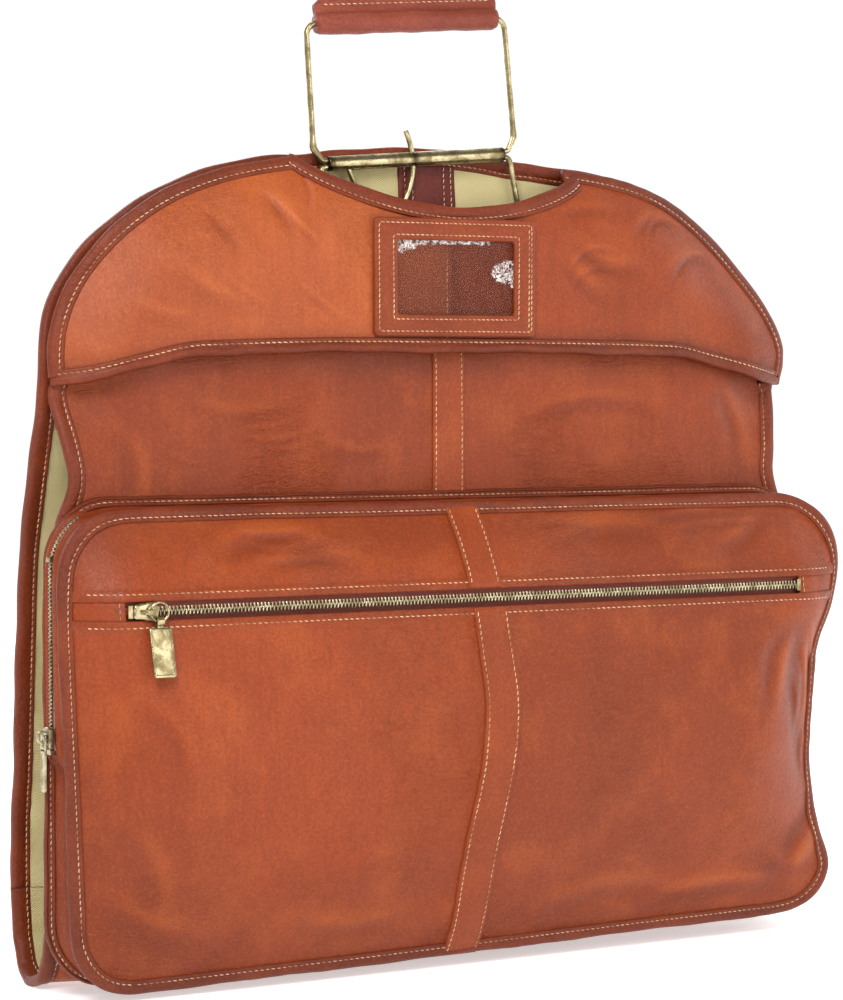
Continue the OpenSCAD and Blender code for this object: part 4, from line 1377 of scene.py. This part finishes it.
POCKET_CREASES = [
    (1.7, 6, [(-190, 284), (-150, 293), (-110, 286)]),
    (1.3, 5, [(-160, 275), (-125, 281), (-96, 275)]),
    (1.4, 6, [(60, 286), (95, 292), (150, 288)]),
    (1.2, 5, [(190, 276), (220, 286), (240, 300)]),
    (3.2, 9, [(262, 232), (252, 190), (256, 150), (268, 118)]),
    (2.2, 7, [(276, 205), (268, 175), (272, 140)]),
    (2.0, 7, [(248, 226), (226, 204), (216, 170)]),
    (1.3, 3.0, [(268, 218), (277, 192), (273, 166)]),
    (1.2, 3.0, [(258, 206), (264, 182), (262, 158)]),
    (1.1, 2.8, [(280, 178), (274, 150), (279, 126)]),
    (1.0, 2.8, [(266, 150), (262, 130), (268, 110)]),
    (1.0, 3.0, [(246, 190), (252, 170), (248, 150)]),
    (1.8, 6.0, [(140, 27), (205, 35), (262, 30)]),
    (0.7, 2.4, [(-176, 300), (-150, 296), (-122, 300)]),
    (0.7, 2.4, [(-168, 290), (-140, 287), (-112, 292)]),
    (0.7, 2.4, [(-160, 281), (-132, 279), (-104, 283)]),
    (0.6, 2.2, [(150, 300), (180, 304), (214, 302)]),
    (0.6, 2.2, [(160, 292), (196, 296), (236, 296)]),
    (0.7, 2.4, [(44, 297), (70, 300), (98, 295)]),
    (2.6, 9, [(286, 96), (262, 70), (246, 40)]),
    (1.6, 7, [(228, 60), (250, 44), (284, 52)]),
    (1.5, 8, [(-268, 60), (-240, 42), (-205, 34)]),
    (1.3, 7, [(-262, 110), (-246, 84), (-240, 56)]),
    (1.1, 6, [(-140, 40), (-100, 32), (-56, 36)]),
    (1.2, 7, [(60, 32), (110, 40), (160, 36)]),
    (0.9, 5, [(-250, 190), (-232, 172), (-228, 150)]),
]


def hitched(x, z):
    """How far the pocket's lower right end is hitched up."""
    return 8.0 * smooth(-200, 290, x) * (1 - smooth(POCKET_Z[0], 190, z))


def pocket_place(u, z0):
    """(x, z) of the pocket's front from its straight drawing: u across (-1 to 1), z0 up."""
    from_end = np.clip(POCKET_R - np.minimum(z0 - POCKET_Z[0], POCKET_Z[1] - z0), 0, POCKET_R)
    take = POCKET_R - np.sqrt(np.maximum(POCKET_R ** 2 - from_end ** 2, 0))
    x = mix(SIDE_LEFT(z0) + take, SIDE_RIGHT(z0) - take, (u + 1) / 2)
    return x, z0 + hitched(x, z0)


def pocket_y(x, z):
    """Outer face of the pocket's front."""
    straight = z - hitched(x, z)
    u = POCKET_HALF * np.where(x < 0, -x / SIDE_LEFT(straight), x / SIDE_RIGHT(straight))
    turn = mix(84.0, 44.0, hump(z, ZIP[2], 34))
    t = np.clip((np.abs(u) - (POCKET_HALF - turn)) / turn, 0, 1)
    rim = mix(*EDGE_Y, smooth(-100, 100, x))
    middle = BULGE(straight)
    y = np.where(middle < rim, middle + (rim - middle) * t ** 2.1, middle)
    calm = smooth(290, 250, np.abs(u)) * smooth(POCKET_Z[0], 40, straight) * smooth(POCKET_Z[1], 290, z)
    at_zip = 1 - hump(z, ZIP[2], 16)
    uneven = ripples(x, z, 170, 71) * 1.6 + ripples(x, z, 62, 72) * 0.7 + ripples(x, z, 26, 73) * 0.18
    y = y - calm * at_zip * uneven
    y = y + 2.2 * hump(x, 150, 90) * hump(z, 60, 45)
    far = smooth(300, 285, np.abs(u)) * at_zip
    return y - creases(x, z, POCKET_CREASES) * far


def pocket_half(name, z_low, z_high, rows, welt):
    z0 = np.linspace(z_low, z_high, rows)[:, None]
    u = np.sin(np.linspace(-1, 1, 300) * math.pi / 2 * 0.82) / math.sin(math.pi / 2 * 0.82)
    x, z = pocket_place(u[None], z0)
    points, normal = on(pocket_y, coords(x, z))
    points = points + normal * smooth(7, 4.5, np.abs(z - welt))[..., None]
    obj = piece(name, sheet_form(points, LEATHER, FRONT), POCKET_HIDE, "front_half", [name + "_panel"])
    relief(obj, lambda p: creases(p[:, 0], p[:, 2], POCKET_CREASES) * 0.8)

    def seams(p):
        from_end = np.minimum(p[:, 2] - POCKET_Z[0], POCKET_Z[1] - p[:, 2])
        return np.maximum(hump(p[:, 2], welt, 6) * 0.7, smooth(40, 12, from_end) * 0.6)

    paint(obj, "seam", seams)
    seam_z = welt + 3.6 * np.sign(welt - ZIP[2])
    line = coords(np.linspace(-279, 287, 300), seam_z)
    stitch("front_half", *on(pocket_y, line, 0.75))


pocket_half("pocket_lower", 5.6, ZIP_LOW, 170, ZIP_LOW)
pocket_half("pocket_upper", ZIP_HIGH, 315.4, 46, ZIP_HIGH)

UPPER_STRIP = graph([(260, 0.5), (290, -2), (316, -4)])
LOWER_STRIP = graph([(8, -4), (23, -3), (86, -5.5), (140, 0), (185, 5), (245, 3)])
strap("pocket_upper_strip", pocket_y, UPPER_STRIP, 12.5, ZIP_HIGH + 0.4, 313, 2.2)
strap("pocket_lower_strip", pocket_y, LOWER_STRIP, 13.5, 9, ZIP_LOW - 0.4, 2.2)


def rim_loop(count):
    """The pocket front's edge, clockwise from the lower left, as (x, z)."""
    rising = np.linspace(*POCKET_Z, 140)
    left = np.stack(pocket_place(-1, rising), axis=1)
    right = np.stack(pocket_place(1, rising[::-1]), axis=1)
    loop = round_trip(np.concatenate([left, right]), count)
    for _ in range(4):
        loop = (np.roll(loop, 1, axis=0) + 2 * loop + np.roll(loop, -1, axis=0)) / 4
    return loop


def outward(loop):
    d = tangents(loop, closed=True)
    return coords(-d[:, 1], d[:, 0])


RIM_COUNT = 560
RIM = rim_loop(RIM_COUNT)
RIM_OUT = outward(RIM)
RIM_Y = pocket_y(RIM[:, 0], RIM[:, 1])
rim_path, rim_up = hugging(RIM, -RIM_OUT, pocket_y, 10.0)
binding("pocket_front_binding", rim_path, rim_up, "front_half", w=9.0, inside=4.6, seed=6, closed=True)


def rear_loop(count, half_w, low, high, r):
    corners = []
    for cx, cz, w0 in ((-half_w + r, high - r, 180), (half_w - r, high - r, 90), (half_w - r, low + r, 0),
                       (-half_w + r, low + r, -90)):
        for k in range(13):
            w = math.radians(w0 - 7.5 * k)
            corners.append((cx + r * math.cos(w), cz + r * math.sin(w)))
    loop = round_trip(np.array(corners), count)
    start = np.argmin(np.hypot(loop[:, 0] - RIM[0, 0], loop[:, 1] - RIM[0, 1]))
    return np.roll(loop, -start, axis=0)


REAR = rear_loop(RIM_COUNT, 291.0, 7.0, 321.5, 42.0)
SIDE_Y = SIDE_ZIP[1]


def gusset():
    rows = 44
    front_ring = RIM - RIM_OUT * 2.6
    rear_ring = REAR - outward(REAR) * 2.0
    t = np.linspace(0, 1, rows)[:, None]
    loop = mix(rear_ring[None], front_ring[None], t[..., None])
    y = mix(-5.6, RIM_Y[None] + 2.2, t)
    out = mix(outward(REAR)[None], RIM_OUT[None], t[..., None])
    zipped = smooth(-262, -284, loop[..., 0]) * smooth(SIDE_ZIP_LOW - 14, SIDE_ZIP_LOW - 2, loop[..., 1])
    zipped = np.maximum(zipped, smooth(-262, -276, loop[..., 0]) * smooth(270, 285, loop[..., 1]))
    crease = -4.5 * np.sin(math.pi * t) ** 1.5 * (1 - zipped)
    soft = ripples(loop[..., 0] + y, loop[..., 1], 40, 81) * 0.8 * np.sin(math.pi * t) * (1 - zipped)
    welt = 2.0 * hump(np.abs(y - SIDE_Y), 6.2, 1.5) * zipped
    x = loop[..., 0] + out[..., 0] * (crease + soft + welt)
    z = loop[..., 1] + out[..., 1] * (crease + soft + welt)
    bed = smooth(6.4, 5.4, np.abs(y - SIDE_Y)) * zipped * smooth(284, 272, z)
    x = mix(x, np.maximum(x, SIDE_ZIP[0] + 3.8), bed)
    obj = piece("pocket_gusset", sheet_form(coords(x, y, z), 1.8, UP, closed=True), POCKET_HIDE,
                "front_half", slot="binding_leather", recalc=True)
    # Painted shade along the gusset's inward crease, halfway between its front and back.
    paint(obj, "shade_and_stain", lambda p: 0.5 * hump(p[:, 1], -20, 9))


gusset()
rear_out = outward(REAR)
rear_path = coords(REAR[:, 0], -7.4, REAR[:, 1])
rear_up = coords(rear_out[:, 0] * 0.8, -0.6, rear_out[:, 1] * 0.8)
binding("pocket_rear_piping", rear_path, rear_up, "front_half", w=7.0, inside=2.2, seed=7, closed=True)


# ---- zips ----

TOOTH_PITCH = 2.55


def teeth(name, path, across, tooth, stagger):
    """Metal teeth along a path, alternately from one side and the other, meeting in the middle.

    tooth is one's size along the zip, across it and out of it; stagger is its middle's offset.
    """
    count = int(lengths(np.array(path, float))[-1] / (TOOTH_PITCH / 2))
    path = resample(path, count)
    directions = tangents(path)
    across = np.array(across, float)
    wide, tall, deep = np.array(tooth) / 2
    section = [(-1, -0.55), (-0.75, -1), (0.75, -1), (1, -0.55), (1, 0.55), (0.75, 1), (-0.75, 1), (-1, 0.55)]
    rings = [(-1.0, 0.55, 0.45), (-0.9, 0.9, 0.8), (-0.2, 1.0, 0.9), (0.25, 1.0, 1.0), (0.85, 0.7, 0.95),
             (1.0, 0.45, 0.55)]
    form = Form()
    faces = grid_faces(len(rings), len(section), True).tolist()
    size = len(section)
    faces += [list(range(size))[::-1], [(len(rings) - 1) * size + q for q in range(size)]]
    for k in range(count):
        side = 1 if k % 2 else -1
        along = directions[k]
        out = np.cross(across, along)
        centre = path[k] - across * side * stagger
        verts = [centre + across * side * tall * s + along * wide * a * sa + out * deep * b * sb
                 for s, sa, sb in rings for a, b in section]
        form.add(verts, faces)
    piece(name, form, NICKEL, "front_half", recalc=True)


def tape(name, halves, material, toward):
    """The two halves of a zip's tape, each a grid of points."""
    form = Form()
    for half in halves:
        form.join(sheet_form(half, 0.7, toward))
    piece(name, form, material, "front_half", recalc=True)


tape_x = np.linspace(bag_box("zip_tape")[0][0], bag_box("zip_tape")[1][0], 220)
halves = []
for low, high in ((ZIP[2] - 12.4, ZIP[2] - 0.6), (ZIP[2] + 0.6, ZIP[2] + 12.4)):
    zz = np.linspace(low, high, 9)[:, None]
    depth = ZIP[1] + 1.6 + 1.9 * smooth(2.0, 4.0, np.abs(zz - ZIP[2])) + 0 * tape_x[None]
    depth = depth + 0.25 * ripples(tape_x[None] + 0 * zz, zz + 0 * tape_x[None], 30, 91)
    halves.append(np.stack(np.broadcast_arrays(tape_x[None], depth, zz), axis=-1))
tape("zip_tape", halves, TAPE, FRONT)
teeth("zip_teeth", [(corner[0], ZIP[1], ZIP[2]) for corner in bag_box("zip_teeth")], UP,
      tooth=(1.25, 3.9, 1.9), stagger=1.15)

turn_r, turn_z = 40.5, 276.5                 # radius and height of the bend round the pocket's corner
side_path = np.array([(SIDE_ZIP[0], SIDE_Y, SIDE_ZIP_LOW)] + [
    (SIDE_ZIP[0] + turn_r + turn_r * math.cos(v), SIDE_Y, turn_z + turn_r * math.sin(v))
    for v in np.radians(np.linspace(180, 122, 16))])
side_path = evenly(side_path, 1.5)
side_out = unit(np.cross(BACK, np.gradient(side_path, axis=0)))
side_out = np.where(side_out[:, :1] > 0, -side_out, side_out)
side_parts = []
for low, high in ((-6.5, -0.5), (0.5, 6.5)):
    yy = np.linspace(low, high, 7)[:, None, None]
    sink = 1.3 + 1.2 * smooth(2.0, 4.0, np.abs(yy))
    side_parts.append(side_path[None] + yy * np.array([0, 1, 0]) - side_out[None] * sink)
tape("side_zip_tape", side_parts, EDGE_TAPE, LEFT)
teeth("side_zip_teeth", side_path, BACK, tooth=(1.2, 3.2, 1.8), stagger=0.95)


def end_tab(side, word, low, high):
    """Leather tab that closes the slit from the zip's end to the pocket's binding."""
    s = np.linspace(0, 1, 30)[None]
    z = ZIP[2] + np.linspace(-8.6, 8.6, 26)[:, None] + 0 * s
    x = side * mix(low, high, s) + 0 * z
    base, normal = on(pocket_y, coords(x, z))
    crown = 0.7 * np.sqrt(np.clip(1 - ((z - ZIP[2]) / 8.7) ** 2, 0, 1)) - 0.9
    crown = crown + 0.35 * ripples(x, z, 14, 95)
    piece("zip_tab_" + word, sheet_form(base + normal * crown[..., None], 1.7, FRONT), POCKET_HIDE,
          "front_half", ["zip_end_tabs"], recalc=True)
    seam_x = side * (low + 2.8)
    seam = resample([(seam_x, ZIP[2] - 6), (seam_x, ZIP[2] + 6)], 12)
    stitch("front_half", *on(pocket_y, seam), pitch=3.4)


end_tab(-1, "left", 258.5, 289.0)
end_tab(1, "right", 257.6, 297.0)


# ---- metal parts ----

def slab(outline, layers, centre, a_axis, b_axis, out_axis):
    """Solid of one outline (a, b) stacked along out: layers are (scale, out) from back to front."""
    outline = np.asarray(outline, float)
    middle = (outline.max(0) + outline.min(0)) / 2
    half = (outline.max(0) - outline.min(0)).min() / 2
    centre, a_axis, b_axis, out_axis = (np.array(v, float) for v in (centre, a_axis, b_axis, out_axis))

    def loop(shrink, out):
        flat = middle + (outline - middle) * (1 - shrink / np.maximum(np.abs(outline - middle).max(0), half))
        return centre + flat[:, :1] * a_axis + flat[:, 1:] * b_axis + out * out_axis

    return stacked([loop(*layer) for layer in layers])


def metal(name, form, material, body, nodes=None):
    return piece(name, form, material, body, nodes, recalc=True, sharp=40)


def slider(name, centre, along, across, out, length, half_w, face, back, bridge, material, body):
    """Zip slider: a back plate, a crowned front plate, two side walls and a bridge for the pull.

    face and back are how far the plates' outer faces stand from the teeth's middle.
    """
    centre, along, across, out = (np.array(v, float) for v in (centre, along, across, out))
    h = length / 2
    outline = spline([(h, 0.55 * half_w), (0.55 * h, half_w), (0, 0.93 * half_w), (-0.6 * h, 0.8 * half_w),
                      (-h, 0.62 * half_w), (-h, 0), (-h, -0.62 * half_w), (-0.6 * h, -0.8 * half_w),
                      (0, -0.93 * half_w), (0.55 * h, -half_w), (h, -0.55 * half_w),
                      (1.03 * h, 0), (h, 0.55 * half_w)], 60)[:-1]
    place = (centre, along, across, out)
    crown = [(0.5, face - 1.9), (0.1, face - 1.5), (0, face - 0.7), (0.4, face - 0.2), (1.2, face)]
    form = slab(outline, crown, *place)
    form.join(slab(outline, [(0.5, -back), (0, -back + 0.4), (0, -back + 1.2), (0.3, -back + 1.4)], *place))
    for side in (-1, 1):
        t = np.linspace(-0.92, 0.86, 16)
        edge = half_w * (0.82 - 0.1 * (t < 0) + 0.12 * t)
        wall = centre + t[:, None] * h * along + (side * edge)[:, None] * across + (face - back) / 2 * out
        form.join(sweep_form(wall, out, rounded_box((-0.8, (face - back) / 2 - 1.0),
                                                    (0.8, (face + back) / 2 - 0.3), 0.3)))
    low, high, rise = bridge
    arch = bent([(low, 0, face - 0.6), (low, 0, face + rise), (high, 0, face + rise), (high, 0, face - 0.6)],
                [2.0, 2.0], 6)
    arch = centre + arch[:, :1] * along + arch[:, 2:] * out
    form.join(sweep_form(evenly(arch, 0.5), across, rounded_box((-0.65, -1.6), (0.65, 1.6), 0.45)))
    metal(name, form, material, body)


slider_w, _, slider_h = bag_size("zip_slider")
slider("zip_slider", (bag_middle("zip_slider")[0], ZIP[1], ZIP[2]), RIGHT, UP, FRONT, slider_w,
       slider_h / 2, 3.9, 3.2, (-2.85, 3.85, 5.25), BRASS, "front_slider")
_, side_w, side_h = bag_size("side_slider")
side_rise = SIDE_ZIP[0] - 3.6 - bag_box("side_slider")[0][0] - 0.65
slider("side_slider", (*SIDE_ZIP[:2], bag_middle("side_slider")[2]), UP, BACK, LEFT, side_h,
       side_w / 2, 3.6, 2.9, (-2.85, 3.85, side_rise), NICKEL, "left_slider")

RING_WIRE = 0.9
RING_AT = bag_middle("zip_ring")
RING_R = bag_size("zip_ring")[0] / 2 - RING_WIRE
w = np.linspace(0, math.tau, 73)[:-1]
ring_path = RING_AT + RING_R * coords(np.cos(w), 0, np.sin(w))
metal("zip_ring", sweep_form(ring_path, FRONT, circle(RING_WIRE, 14), closed=True), BRASS, "front_ring")


def pull_plate(name, pivot, tilt, wide, top, bottom, thick, material, body, face, across, barrel=None,
               hole=None):
    """Flat pull with a raised rim, hanging from pivot and tilted outward at its foot.

    It hangs by a barrel of that width, or by a hole of that half width and depth in its top.
    """
    face, across = np.array(face, float), np.array(across, float)
    c, s = math.cos(tilt), math.sin(tilt)
    up = np.array([0, 0, 1.0])
    down_axis = -up * c + face * s
    out_axis = face * c + up * s
    b_axis = -down_axis
    plate_top = top if hole is None else -hole[1] - 1.2
    outline = rounded_box((-wide / 2, bottom), (wide / 2, plate_top), 1.6, 6)
    form = slab(outline, [(0.5, -thick / 2), (0, -thick / 2 + 0.35), (0, thick / 2 - 0.3), (0.35, thick / 2),
                          (1.3, thick / 2), (1.6, thick / 2 - 0.32), (1.9, thick / 2 - 0.36)],
                pivot, across, b_axis, out_axis)
    if hole is not None:
        w2, low2 = hole
        count = 80
        outer = rounded_box((-wide / 2, -low2 - 2.6), (wide / 2, top), 1.2, 5)
        inner = rounded_box((-w2, -low2), (w2, -0.95), 0.5, 5)
        outer, inner = round_trip(outer, count), round_trip(inner, count)
        loops = np.stack([mix(outer, inner, q) for q in (0, 0.2, 0.8, 1)])
        sheet = pivot + loops[..., :1] * across + loops[..., 1:] * b_axis + thick / 2 * out_axis
        form.join(sheet_form(sheet, thick, out_axis, closed=True))
    if barrel is not None:
        v = np.linspace(0, math.tau, 49)[:-1]
        turn = pivot + 2.5 * (np.cos(v)[:, None] * out_axis + np.sin(v)[:, None] * b_axis)
        rolled = rounded_box((-0.6, -barrel / 2), (0.6, barrel / 2), 0.35)
        form.join(sweep_form(turn, across, rolled, closed=True))
        shank = rounded_box((-barrel / 2 + 0.3, -6.5), (barrel / 2 - 0.3, -2.6), 0.4)
        layers = [(0.2, -0.7), (0, -0.5), (0, 0.5), (0.2, 0.7)]
        form.join(slab(shank, layers, pivot, across, b_axis, out_axis))
    metal(name, form, material, body)


PULL_AT = np.array([RING_AT[0], RING_AT[1], RING_AT[2] - RING_R])
pull_plate("zip_pull", PULL_AT, math.radians(15), 15, -4.2, -36, 1.6, BRASS, "front_pull", FRONT, RIGHT,
           barrel=5)
side_pull_at = np.array([bag_middle("side_pull")[0], SIDE_ZIP[1], bag_box("side_pull")[1][2] - 0.9])
pull_plate("side_pull", side_pull_at, 0.0, 8, 0.9, -35.1, 1.4, NICKEL, "left_pull", LEFT, FRONT,
           hole=(2.2, 6.4))


# ---- hanger bar, wires and handle ----

LEAN = math.radians(4.7)
BAR_AT = bag_middle("hanger_bar")
BAR_HALF = 68.0
WIRE_R = 2.0
GATE_X, GATE_R = -54.0, 51.0
PIN_Z = 2.1
BAIL_H = 92.0


def on_bar(points):
    """Handle coordinates (along the bar, away from the viewer, up from it) to bag millimetres."""
    along, away, up = np.moveaxis(np.asarray(points, float), -1, 0)
    c, s = math.cos(LEAN), math.sin(LEAN)
    return BAR_AT + coords(along * c - up * s, away, along * s + up * c)


def flat_path(points):
    """(along, up) points as handle points."""
    along, up = np.array(points, float).T
    return coords(along, 0, up)


def wire(name, path, radius, body, flatten=None):
    """Round wire along handle points, slightly worn; flatten(t, whole) is where it was pressed flat."""
    path = evenly(path, 1.2)
    t = lengths(path)

    def scale(k, shape):
        worn = 1 + 0.02 * math.sin(t[k] / 5.3) + 0.012 * math.sin(t[k] / 1.9)
        out = shape * worn
        if flatten is not None:
            f = flatten(t[k], t[-1])
            out = out * np.array([1 + 0.35 * f, 1 - 0.25 * f])
        return out

    form = sweep_form(on_bar(path), FRONT, circle(radius, 18), scale=scale)
    metal(name, form, BRASS, body)


def bar():
    """Brass tube with turned-in ends and a fine groove along its underside."""
    rings = [(-BAR_HALF + 12, 0.2), (-BAR_HALF + 12, 4.2), (-BAR_HALF + 0.9, 4.25), (-BAR_HALF + 0.1, 4.45),
             (-BAR_HALF, 4.75), (-BAR_HALF + 0.4, 4.98), (-BAR_HALF + 2.5, 5.02), (-BAR_HALF + 3.2, 4.86)]
    body = [(s, 5.0 + 0.03 * math.sin(s / 9.0)) for s in np.linspace(-BAR_HALF + 4, BAR_HALF - 4, 60)]
    rings = rings + body + [(-s, r) for s, r in rings[::-1]]
    sides, slot_at = 48, 34
    w = np.arange(sides) * math.tau / sides

    def loop(s, r):
        groove = np.where((np.arange(sides) == slot_at) & (r > 4.8), 0.86, 1.0)
        return on_bar(coords(s, r * groove * np.cos(w), r * groove * np.sin(w)))

    obj = metal("hanger_bar", stacked([loop(s, r) for s, r in rings]), BRASS, "hanger_frame")

    # Painted shade, with stain: darker at the bar's ends, where the wires go in, and in a band near its
    # middle.
    def stain_and_shade(p):
        local = p - BAR_AT
        along = local[:, 0] * math.cos(LEAN) + local[:, 2] * math.sin(LEAN)
        return np.maximum(smooth(5.5, 1.0, BAR_HALF - np.abs(along)), hump(along, -3, 3.4))

    paint(obj, "shade_and_stain", stain_and_shade)


bar()
cradle_right = [(BAR_HALF - 7, -PIN_Z), (BAR_HALF + 5, -PIN_Z), (BAR_HALF + 13, -62)]
cradle = cradle_right + [(-a, b) for a, b in cradle_right[::-1]]
wire("cradle_wire", bent(flat_path(cradle), [4, 9, 9, 4]), WIRE_R, "hanger_frame")
bail_right = [(BAR_HALF - 7, 0), (BAR_HALF + 4, 0), (BAR_HALF + 10, 9), (BAR_HALF + 8.5, BAIL_H)]
bail = [(a, b + PIN_Z) for a, b in bail_right + [(-a, b) for a, b in bail_right[::-1]]]


def pressed(t, whole):
    foot = min(abs(t - 22), abs(whole - t - 22))
    return math.exp(-(foot / 5.0) ** 2)


wire("bail_wire", bent(flat_path(bail), [3, 5, 8, 8, 5, 3]), WIRE_R, "bail", flatten=pressed)
low_w, high_w = math.radians(-55), math.radians(23)
arc = [(GATE_X + GATE_R * math.cos(q), GATE_R * math.sin(q)) for q in np.linspace(low_w, high_w, 24)]
corner = (arc[0][0] + 14 * math.sin(low_w), arc[0][1] - 14 * math.cos(low_w))
gate = np.concatenate([bent(flat_path([(GATE_X + 0.8, -2.6), corner, arc[0]]), [8]), flat_path(arc[1:])])
wire("shackle", gate, 1.85, "hanger_shackle")
eye = slab(circle(3.3, 28), [(0.4, -1.9), (0, -1.5), (0, 1.5), (0.4, 1.9)], on_bar((GATE_X, 0, 0)), RIGHT,
           UP, FRONT)
metal("shackle_eye", eye, BRASS, "hanger_shackle", ["shackle"])


GRIP_Z = PIN_Z + BAIL_H  # the handle wire's height over the bar


def grip():
    """Leather wrapped round the handle wire and sewn shut along a flap above it."""
    half = 69.0
    roll_r, flap_low, flap_h = 8.2, 9, 7
    s = np.linspace(-1, 1, 110)
    rising = [
        (-3.4, 6.0), (-2.6, 8.4), (-2.3, 11.0), (-2.15, 14.5), (-1.9, 15.6), (-1.2, 16.0), (-0.35, 15.7),
    ]
    flap_line = rising + [(0, 14.9)] + [(-a, b) for a, b in rising[::-1]]
    around = [(7.9 * math.sin(v), -7.9 * math.cos(v)) for v in np.radians(np.linspace(140, -140, 34))]
    section = np.array(flap_line + around)
    loops = []
    for q in s:
        end = 1 - smooth(0.955, 1.0, abs(q)) * 0.13
        swell = 1 + 0.03 * math.sin(q * 9 + 0.6) + 0.02 * math.sin(q * 21)
        roll = np.hypot(section[:, 0], section[:, 1]) < roll_r
        across, up = (section * np.where(roll, swell * end, 1)[:, None]).T
        flap = up > flap_low
        corner_drop = smooth(0.93, 1.0, abs(q)) ** 2 * 3.2
        up = np.where(flap, up + (0.5 * math.sin(q * 13) - corner_drop) * (up - flap_low) / flap_h, up)
        across = across + np.where(flap, 0.5 * math.sin(q * 8) * (up - flap_low) / flap_h, 0)
        along = q * half + np.where(flap, np.sign(q) * 0.8 * smooth(0.95, 1, abs(q)), 0)
        loops.append(on_bar(coords(along, across, GRIP_Z + up)))
    uv = np.stack(np.meshgrid(np.arange(len(section)) * 1.4, s * half), axis=-1) * MM
    obj = piece("grip_sleeve", stacked(loops, uv), GRIP, "bail", recalc=True)
    paint(obj, "seam", lambda p: hump((p[:, 2] - BAR_AT[2]) - GRIP_Z - 8.5, 0, 2.2))
    seam = s[4:-4] * half
    for side in (-1, 1):
        line = on_bar(coords(seam, side * 2.35, GRIP_Z + 12.2))
        stitch("bail", line, (0, side, 0), pitch=4.4, lift=0.0)


grip()


# ---- small CAD metal kept as it is ----

for node in ("hanger_tab_rivets", "shackle_pin", "snap_sockets", "snap_studs", "zip_stops", "side_zip_stops"):
    obj = bpy.data.objects[node]
    obj.data.materials.clear()
    obj.data.materials.append(BRASS)


# ---- the cut of each sheet ----

def cut(name, width, height, held, rests_on, share=1.0, trims=()):
    """What a panel was cut to, in millimetres, and the share of that rectangle it fills; none of this is
    used, only the trims are looked up.
    """
    [MADE[trim] for trim in trims]


def face_size(node):
    """Width and height of a CAD node's front, in millimetres."""
    return bag_size(node)[[0, 2]]


back_w, back_h = face_size("back_panel")
front_w, front_h = 2 * FRONT_HALF_WIDTH(200), 448 - FOLD_END_Z
fold_l = lengths(resample(FOLD_MIDDLE, 200))[-1]
rim_l = lengths(np.concatenate([REAR, REAR[:1]]))[-1]
pocket_w = face_size("pocket_lower_panel")[0]
for name, width, height, held, rests_on, share, trims in (
    ("back_panel", back_w, back_h, "hung", "hanger_bar", 0.97,
     ["back_edge_binding", "inner_strip", "hanger_tab"]),
    ("back_lining", back_w - 16, back_h - 16, "hung", "back_panel", 0.92, []),
    ("yoke_left", *face_size("yoke_left"), "hung", "back_panel", 0.75,
     ["shoulder_seam_left", "shoulder_band_left"]),
    ("yoke_right", *face_size("yoke_right"), "hung", "back_panel", 0.75,
     ["shoulder_seam_right", "shoulder_band_right", "neck_binding", "yoke_hem_binding"]),
    ("yoke_lining", *face_size("yoke_lining"), "hung", "yoke_left", 0.72, []),
    ("front_skin", front_w, front_h, "hung", "yoke_hem_binding", 0.98,
     ["front_strip", "front_binding_left", "front_binding_right"]),
    ("front_lining", front_w - 14, 392 - FOLD_END_Z, "hung", "front_skin", 0.98, []),
    ("fold_skin", 2 * FOLD_HALF, fold_l, "folded", "back_panel", 1.0,
     ["fold_binding_left", "fold_binding_right"]),
    ("fold_lining", 2 * FOLD_HALF - 15, fold_l - 8, "folded", "fold_skin", 1.0, []),
    ("pocket_lower", pocket_w, ZIP_LOW + 14, "stretched", "pocket_gusset", 0.97,
     ["pocket_lower_strip", "zip_tab_left", "zip_tab_right", "pocket_front_binding"]),
    ("pocket_upper", pocket_w, 315 - ZIP_HIGH + 18, "stretched", "pocket_gusset", 0.93,
     ["pocket_upper_strip"]),
    ("pocket_gusset", rim_l, 33, "stretched", "front_skin", 0.96, ["pocket_rear_piping"]),
    ("zip_tape", face_size("zip_tape")[0], 28, "stretched", "pocket_lower", 0.97, []),
    ("side_zip_tape", lengths(side_path)[-1], 13, "stretched", "pocket_gusset", 0.92, []),
    ("id_frame", 2 * ID_HALF[0], 2 * ID_HALF[1], "stretched", "yoke_right", 0.55, []),
    ("id_window", 96, 56, "stretched", "id_frame", 1.0, []),
):
    cut(name, width, height, held, rests_on, share, trims)


# ---- thread ----

for body, form in THREAD.items():
    if body == "fold":
        blended(piece("stitches_fold", form, THREAD_CREAM, replaces=[]))
    else:
        piece("stitches_" + body, form, THREAD_CREAM, body, [])
